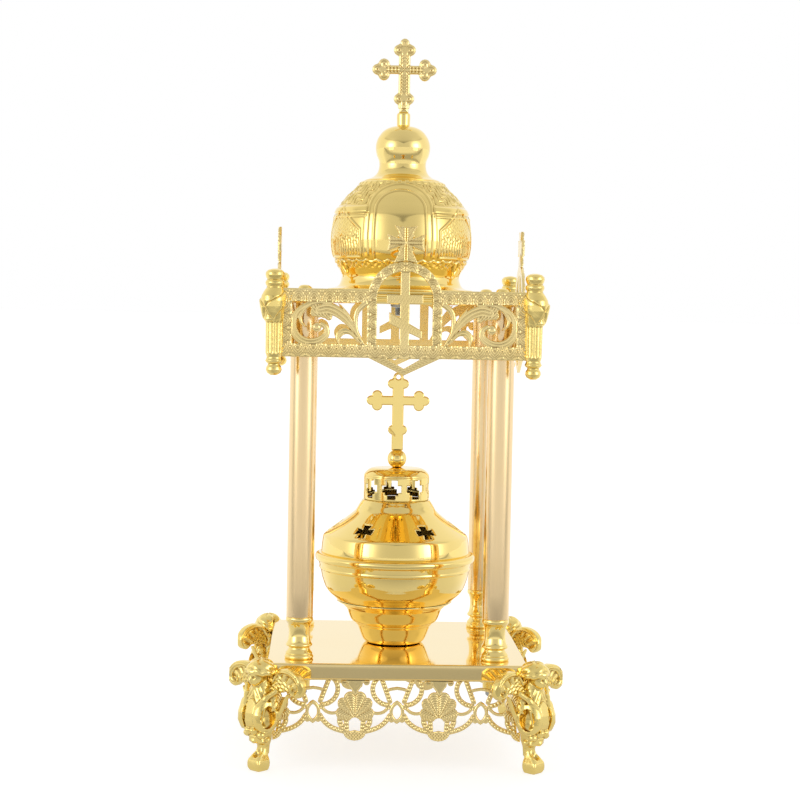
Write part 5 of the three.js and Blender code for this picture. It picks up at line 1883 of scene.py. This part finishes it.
@dataclass
class Censer:
    """The footed bowl with its pan, and the lid with its pierced crown and ball."""

    lid_steps: int = 420
    crown_steps: int = 400

    def build(self) -> None:
        """Build and dress the whole censer."""
        foot = outline([(12.2, 50), (13.2, 50.05)],
                       [(14.4, 50.6), (15.4, 51.7), (16.6, 54.3), (17.6, 57), (18.3, 58.7)],
                       [(19, 59.3), (19.3, 60)],
                       [(20.8, 60.8), (21.8, 62), (22.7, 64.2), (23.4, 66.1), (24.1, 67.4)],
                       [(25.2, 68.3), (26.6, 69.5), (28.1, 70.3)],
                       [(28.65, 70.7), (28.5, 71.1)], round_off=0.2, step=0.5)
        inner = [(25.4, 68.9), (19.9, 68), (2.3, 68), (2.3, 67.1), (19.4, 67.1), (17.4, 61), (15.6, 57),
                 (13.2, 52.4), (11.6, 50.9), (11.6, 50.1)]
        lathe("censer_foot", vstack([foot, inner]), POLISHED, 160, Body.CENSER)
        bowl = outline([(2.3, 68), (19.8, 68)], [(25.4, 69.25)],
                       [(28.9, 71.6), (30.8, 73.3), (32.6, 75), (33.8, 76.6), (34.7, 78.2),
                        (35.3, 79.8), (35.9, 81.5), (36.4, 83.4), (36.8, 85.4), (37, 86.7)],
                       [(37.55, 87), (37.75, 87.7), (37.6, 88.4)],
                       [(37.9, 89.6), (38.3, 91)],
                       [(39.35, 91.4), (39.7, 92.4), (39.68, 93.5), (39.2, 94.4), (38.2, 94.9),
                        (36.9, 95)],
                       [(35.4, 95)], [(35.4, 96.6), (34.95, 97), (34.5, 96.6)],
                       round_off=0.25, step=0.5)
        inner = [(34.5, 94), (35.9, 91), (36.2, 87), (35.6, 83.5), (34.5, 80), (33, 76.8), (30.2, 73.9),
                 (27.9, 72), (25, 70.1), (19.6, 68.9), (2.3, 68.9)]
        lathe("censer_bowl", vstack([bowl, inner]), POLISHED, 160, Body.CENSER)
        self._inside()
        self._lid()

    def _inside(self) -> None:
        """Build the pan, and the screw and nut under it."""
        pan = outline([(0, 71.1), (21.4, 71.1)],
                      [(25.6, 72.2), (28.2, 74.1), (29.6, 76.6), (30.4, 78.9)],
                      [(32.9, 79)], [(33, 79.35), (32.8, 79.7)],
                      [(30.2, 79.7)], [(29, 77.2), (27.5, 74.8), (25.2, 73), (21.2, 71.9)],
                      [(0, 71.9)], round_off=0.2, step=0.6)
        lathe("charcoal_pan", pan, PAN_STEEL, 96, Body.PAN)
        screw = outline([(0, 62.9), (1.7, 62.9)], [(2, 63.3), (2, 68.9)], [(3.75, 68.9)],
                        [(3.6, 69.8), (2.9, 70.5), (0, 70.7)], round_off=0.1, step=0.4)
        lathe("bowl_screw", screw, ZINC, 48, Body.CENSER)
        make_piece("bowl_nut", nut_mesh(7, 2.3, 63.9, 67.1), ZINC, Body.CENSER, 25)

    def _lid(self) -> None:
        """Build the lid."""
        wall = outline([(36.85, 95), (36.8, 96.4), (36.5, 99.8), (36.05, 103)],
                       [(35.7, 103.7), (35, 104.5)],
                       [(30, 108.2), (26, 111.2), (22.1, 114.3), (20.2, 116), (19.7, 116.7)],
                       [(19.2, 117.6), (18.5, 118.9), (17.6, 120.3), (16.9, 121.4), (16.4, 121.8)],
                       round_off=0.35, step=0.45)
        length = concatenate([[0.0], np.cumsum(norm(np.diff(wall, axis=0), axis=1))])
        run, around = heading(wall), 30.0
        girth = tau * around

        def place(u: Array, s: Array, h: Array) -> Array:
            """Place on the wall: round it, along it from its foot, and out from it.

            Args:
                u: Places round the wall.
                s: Places along it from its foot.
                h: Distances out from it.

            Returns:
                Points.
            """
            radius = interp(s, length, wall[:, 0]) + h * interp(s, length, run[:, 1])
            level = interp(s, length, wall[:, 1]) - h * interp(s, length, run[:, 0])
            return stack([radius * sin(u / around), -radius * cos(u / around), level], -1)

        centre = float(interp(108.2, wall[:, 1], length))

        def shape(u: Array, s: Array) -> Array:
            """Signed distance to the wall between its six crosses.

            Args:
                u: Places round the wall.
                s: Places along it.

            Returns:
                Distances.
            """
            part = np.abs(nearest(u - math.radians(-33.0) * around, girth / 6))
            x, z = part * interp(s, length, wall[:, 0]) / around, np.abs(s - centre)
            arms = minimum(maximum(x - 4.6, z - 1.15 - 0.22 * x), maximum(z - 4.6, x - 1.15 - 0.22 * z))
            return maximum(maximum(-s, s - length[-1]), -blend(arms, hypot(x, z) - 1.6, 0.6))

        cell = girth / self.lid_steps
        rows = math.ceil((length[-1] + 1.2) / cell)
        sheet = Sheet((0.0, girth), (-0.6, -0.6 + rows * cell), cell, shape,
                      lambda u, s: -0.28 * clip(1 + shape(u, s) / 0.5, 0, 1) ** 2, place, -0.9, True)
        make_piece("lid_shell", sheet.build(), POLISHED, Body.LID, 50)
        self._crown()
        cap = outline([(14.9, 133.4), (16.3, 133.4)],
                      [(16.2, 134), (15.7, 134.8), (14.8, 135.8), (13.6, 136.7), (12.2, 137.25), (10, 137.5),
                       (6, 137.6)], [(1.8, 137.6)], round_off=0.2, step=0.4)
        inner = [(1.8, 136.7), (9.8, 136.6), (12, 136.3), (13.4, 135.6), (14.4, 134.7), (15, 134)]
        lathe("lid_cap", vstack([cap, inner]), POLISHED, 144, Body.LID)
        ball = [(math.sqrt(4.75 ** 2 - h * h), 141.86 + h) for h in linspace(-4.26, 4.26, 33)]
        ball = [(1.8, 141.86 - 4.26), *ball, (1.8, 141.86 + 4.26)]
        lathe("lid_ball", array(ball), POLISHED, 96, Body.LID)
        stud = outline([(0, 132.1), (1.3, 132.1)], [(1.5, 132.4), (1.5, 145.8)],
                       [(0, 145.8)], round_off=0.1, step=1.0)
        lathe("lid_stud", stud, ZINC, 40, Body.LID)
        make_piece("lid_nut", nut_mesh(5.5, 1.8, 134.3, 136.7), ZINC, Body.LID, 25)

    def _crown(self) -> None:
        """Build the pierced crown."""
        radius, low, high = 16.4, 121.8, 133.4
        girth = tau * radius

        def place(u: Array, z: Array, h: Array) -> Array:
            """Place on the wall: round it, up it, and out from it."""
            return stack([(radius + h) * sin(u / radius), -(radius + h) * cos(u / radius), z], -1)

        def shape(u: Array, z: Array) -> Array:
            """Signed distance to the wall between its eight crosses.

            Args:
                u: Places round the wall.
                z: Places up.

            Returns:
                Distances.
            """
            part = np.abs(nearest(u - math.radians(-10.8) * radius, girth / 8))
            body = maximum(low - z, z - high)
            for half, bottom, top in ((2.1, 122.8, 126), (3.5, 125, 127), (5, 126.3, 129.6),
                                      (3.1, 129, 132.3)):
                body = maximum(body, -in_box(part, z, -half, bottom, half, top))
            return body

        cell = girth / self.crown_steps
        rows = math.ceil((high - low + 1.0) / cell)
        sheet = Sheet((0.0, girth), (low - 0.5, low - 0.5 + rows * cell), cell, shape,
                      lambda u, z: -0.2 * clip(1 + shape(u, z) / 0.35, 0, 1) ** 2, place, -0.8, True)
        make_piece("lid_crown", sheet.build(), POLISHED, Body.LID, 50)


# ---- studio


@dataclass
class Studio:
    """The pale floor, the soft lights and the camera."""

    distance: float = 962.35
    height: float = 222.744
    azimuth: float = -0.0391
    yaw: float = 0.0401
    pitch: float = 3.07
    roll: float = 1.12
    lens: float = 87.1
    box_size: tuple[float, float] = (420, 520)
    box_power: float = 0.35

    def build(self) -> None:
        """Set the camera, the lights, the floor and the surroundings."""
        self._camera()
        self._floor()
        self._world()
        for side, name in ((-1, "left box"), (1, "right box")):
            self._light(name, Vector((side * 860, -640, 330)))

    def _camera(self) -> None:
        """Place the camera."""
        yaw, pitch, roll = self.yaw, math.radians(self.pitch), math.radians(self.roll)
        forward = Vector((math.sin(yaw) * math.cos(pitch), math.cos(yaw) * math.cos(pitch), -math.sin(pitch)))
        right = Vector((math.cos(yaw), -math.sin(yaw), 0.0))
        up = right.cross(forward)
        data = bpy.data.cameras.new("camera")
        data.lens, data.sensor_width, data.sensor_fit = self.lens, 36.0, "AUTO"
        data.clip_start, data.clip_end = 0.05, 20.0
        camera = bpy.data.objects.new("camera", data)
        bpy.context.scene.collection.objects.link(camera)
        x_axis = math.cos(roll) * right + math.sin(roll) * up
        y_axis = -math.sin(roll) * right + math.cos(roll) * up
        z_axis = -forward
        place = Matrix((x_axis, y_axis, z_axis)).transposed().to_4x4()
        place.translation = Vector((self.distance * math.sin(self.azimuth), -self.distance * math.cos(self.azimuth),
                                    self.height)) * MM
        camera.matrix_world = place
        bpy.context.scene.camera = camera

    def _floor(self) -> None:
        """Lay a wide white floor, whose glow in reflections has a dark zone in front of the object."""
        mesh = bpy.data.meshes.new("floor")
        wide = 40.0
        mesh.from_pydata([(-wide, -wide, 0), (wide, -wide, 0), (wide, wide, 0), (-wide, wide, 0)], [], [[0, 1, 2, 3]])
        floor = bpy.data.objects.new("floor", mesh)
        bpy.context.scene.collection.objects.link(floor)
        material = bpy.data.materials.new("floor white")
        material.use_nodes = True
        wiring = Wiring(material.node_tree)
        depth = wiring.add("SeparateXYZ", "Y", {"Vector": wiring.add("TexCoord", "Object")})
        pool = wiring.greys(depth, (0, 0.5), (0.12, 0.5), (0.3, 0.05), (0.38, 0.05), (0.44, 0.34), (0.52, 0.42),
                            (0.6, 0.65), (1, 0.65))
        seen = wiring.add("LightPath", "Is Camera Ray")
        glow = wiring.add("Mix", "Result", {"Factor": seen, "A": pool, "B": 0.7})
        wiring.feed(material.node_tree.nodes["Principled BSDF"],
                    {"Base Color": (0.45, 0.45, 0.45, 1), "Emission Color": (1, 1, 1, 1), "Emission Strength": glow,
                     "Roughness": 0.7, "Specular IOR Level": 0.2})
        mesh.materials.append(material)

    def _world(self) -> None:
        """White surroundings, darker behind the viewer and overhead, as in a light tent."""
        world = bpy.data.worlds.new("tent")
        bpy.context.scene.world = world
        world.use_nodes = True
        wiring = Wiring(world.node_tree)
        place = wiring.add("TexCoord", "Generated")
        x, y, z = (wiring.add("SeparateXYZ", axis, {"Vector": place}) for axis in "XYZ")
        around = wiring.greys(y, (0, 0.66), (0.08, 0.7), (0.25, 0.82), (0.5, 0.93), (0.8, 1), (1, 1))
        above = wiring.greys(z, (0, 0.7), (0.4, 0.88), (0.5, 1), (0.72, 1), (1, 0.86))
        tent = wiring.add("Mix", "Result", {"Factor": 1.0, "A": around, "B": above},
                          data_type="RGBA", blend_type="MULTIPLY")
        cloth = self._canopy(wiring, x, y, z)
        tent = wiring.add("Mix", "Result", {"Factor": cloth, "A": tent, "B": (0.3, 0.3, 0.3, 1)}, data_type="RGBA")
        strength: Socket | float = 1.0
        for side in (-1, 1):
            # Glow of a light box behind the tent's cloth
            towards = Vector((side * 0.814, -0.566, 0.124)).normalized()
            facing = wiring.add("VectorMath", "Value", {0: place, 1: towards}, operation="DOT_PRODUCT")
            facing = wiring.add("Math", "Value", {0: facing, 1: 24.0, 2: -24.0}, operation="MULTIPLY_ADD")
            glow = wiring.add("Math", "Value", {0: facing}, operation="EXPONENT")
            strength = wiring.add("Math", "Value", {0: glow, 1: 2.9, 2: strength}, operation="MULTIPLY_ADD")
        # The camera itself sees plain white
        seen = wiring.add("LightPath", "Is Camera Ray")
        tent = wiring.add("Mix", "Result", {"Factor": seen, "A": tent, "B": (1, 1, 1, 1)}, data_type="RGBA")
        strength = wiring.add("Mix", "Result", {"Factor": seen, "A": strength, "B": 1.0})
        wiring.feed(world.node_tree.nodes["Background"], {"Color": tent, "Strength": strength})
        bpy.context.scene.view_settings.view_transform = "Standard"
        bpy.context.scene.view_settings.look = "None"

    def _canopy(self, wiring: Wiring, x: Socket, y: Socket, z: Socket) -> Socket:
        """Shade of the grey cloth that hangs over the viewer's side of the tent.

        Args:
            wiring: Nodes of the surroundings.
            x: The direction's part to the right.
            y: Its part to the back.
            z: Its part upwards.

        Returns:
            How far a direction meets the cloth, from 0 to 1.
        """
        aside = wiring.add("Math", "Value", {0: x}, operation="ABSOLUTE")
        aside = wiring.add("Math", "Value", {0: aside, 1: 0.4}, operation="MINIMUM")
        hem = wiring.add("Math", "Value", {0: aside, 1: -0.5, 2: z}, operation="MULTIPLY_ADD")
        product: Socket | None = None
        for source, low, high, bottom, top in ((hem, 0.285, 0.335, 0.0, 1.0), (y, 0.1, 0.35, 1.0, 0.0),
                                               (z, 0.3, 0.66, 1.0, 0.2)):
            step = wiring.add("MapRange", "Result", {"Value": source, "From Min": low, "From Max": high,
                                                     "To Min": bottom, "To Max": top}, interpolation_type="SMOOTHSTEP")
            product = step if product is None else wiring.add("Math", "Value", {0: product, 1: step},
                                                              operation="MULTIPLY")
        return product

    def _light(self, name: str, place: Vector) -> None:
        """Hang a soft box that faces the object.

        Args:
            name: Name of the light.
            place: Its place.
        """
        data = bpy.data.lights.new(name, "AREA")
        data.shape, data.energy = "RECTANGLE", self.box_power
        data.size, data.size_y = (side * MM for side in self.box_size)
        light = bpy.data.objects.new(name, data)
        bpy.context.scene.collection.objects.link(light)
        light.location = place * MM
        light.rotation_mode = "QUATERNION"
        light.rotation_quaternion = (Vector((0, 0, 220)) - place).to_track_quat("-Z", "Y")


def main() -> None:
    """Build the whole object and its studio."""
    logging.basicConfig(level=logging.INFO, format="%(message)s")
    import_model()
    Studio().build()
    for part in (Plates(), Columns(), Dome(), Crosses(), Frieze(), Apron(), Consoles(), Feet(), Censer()):
        part.build()


if __name__ == "__main__":
    main()
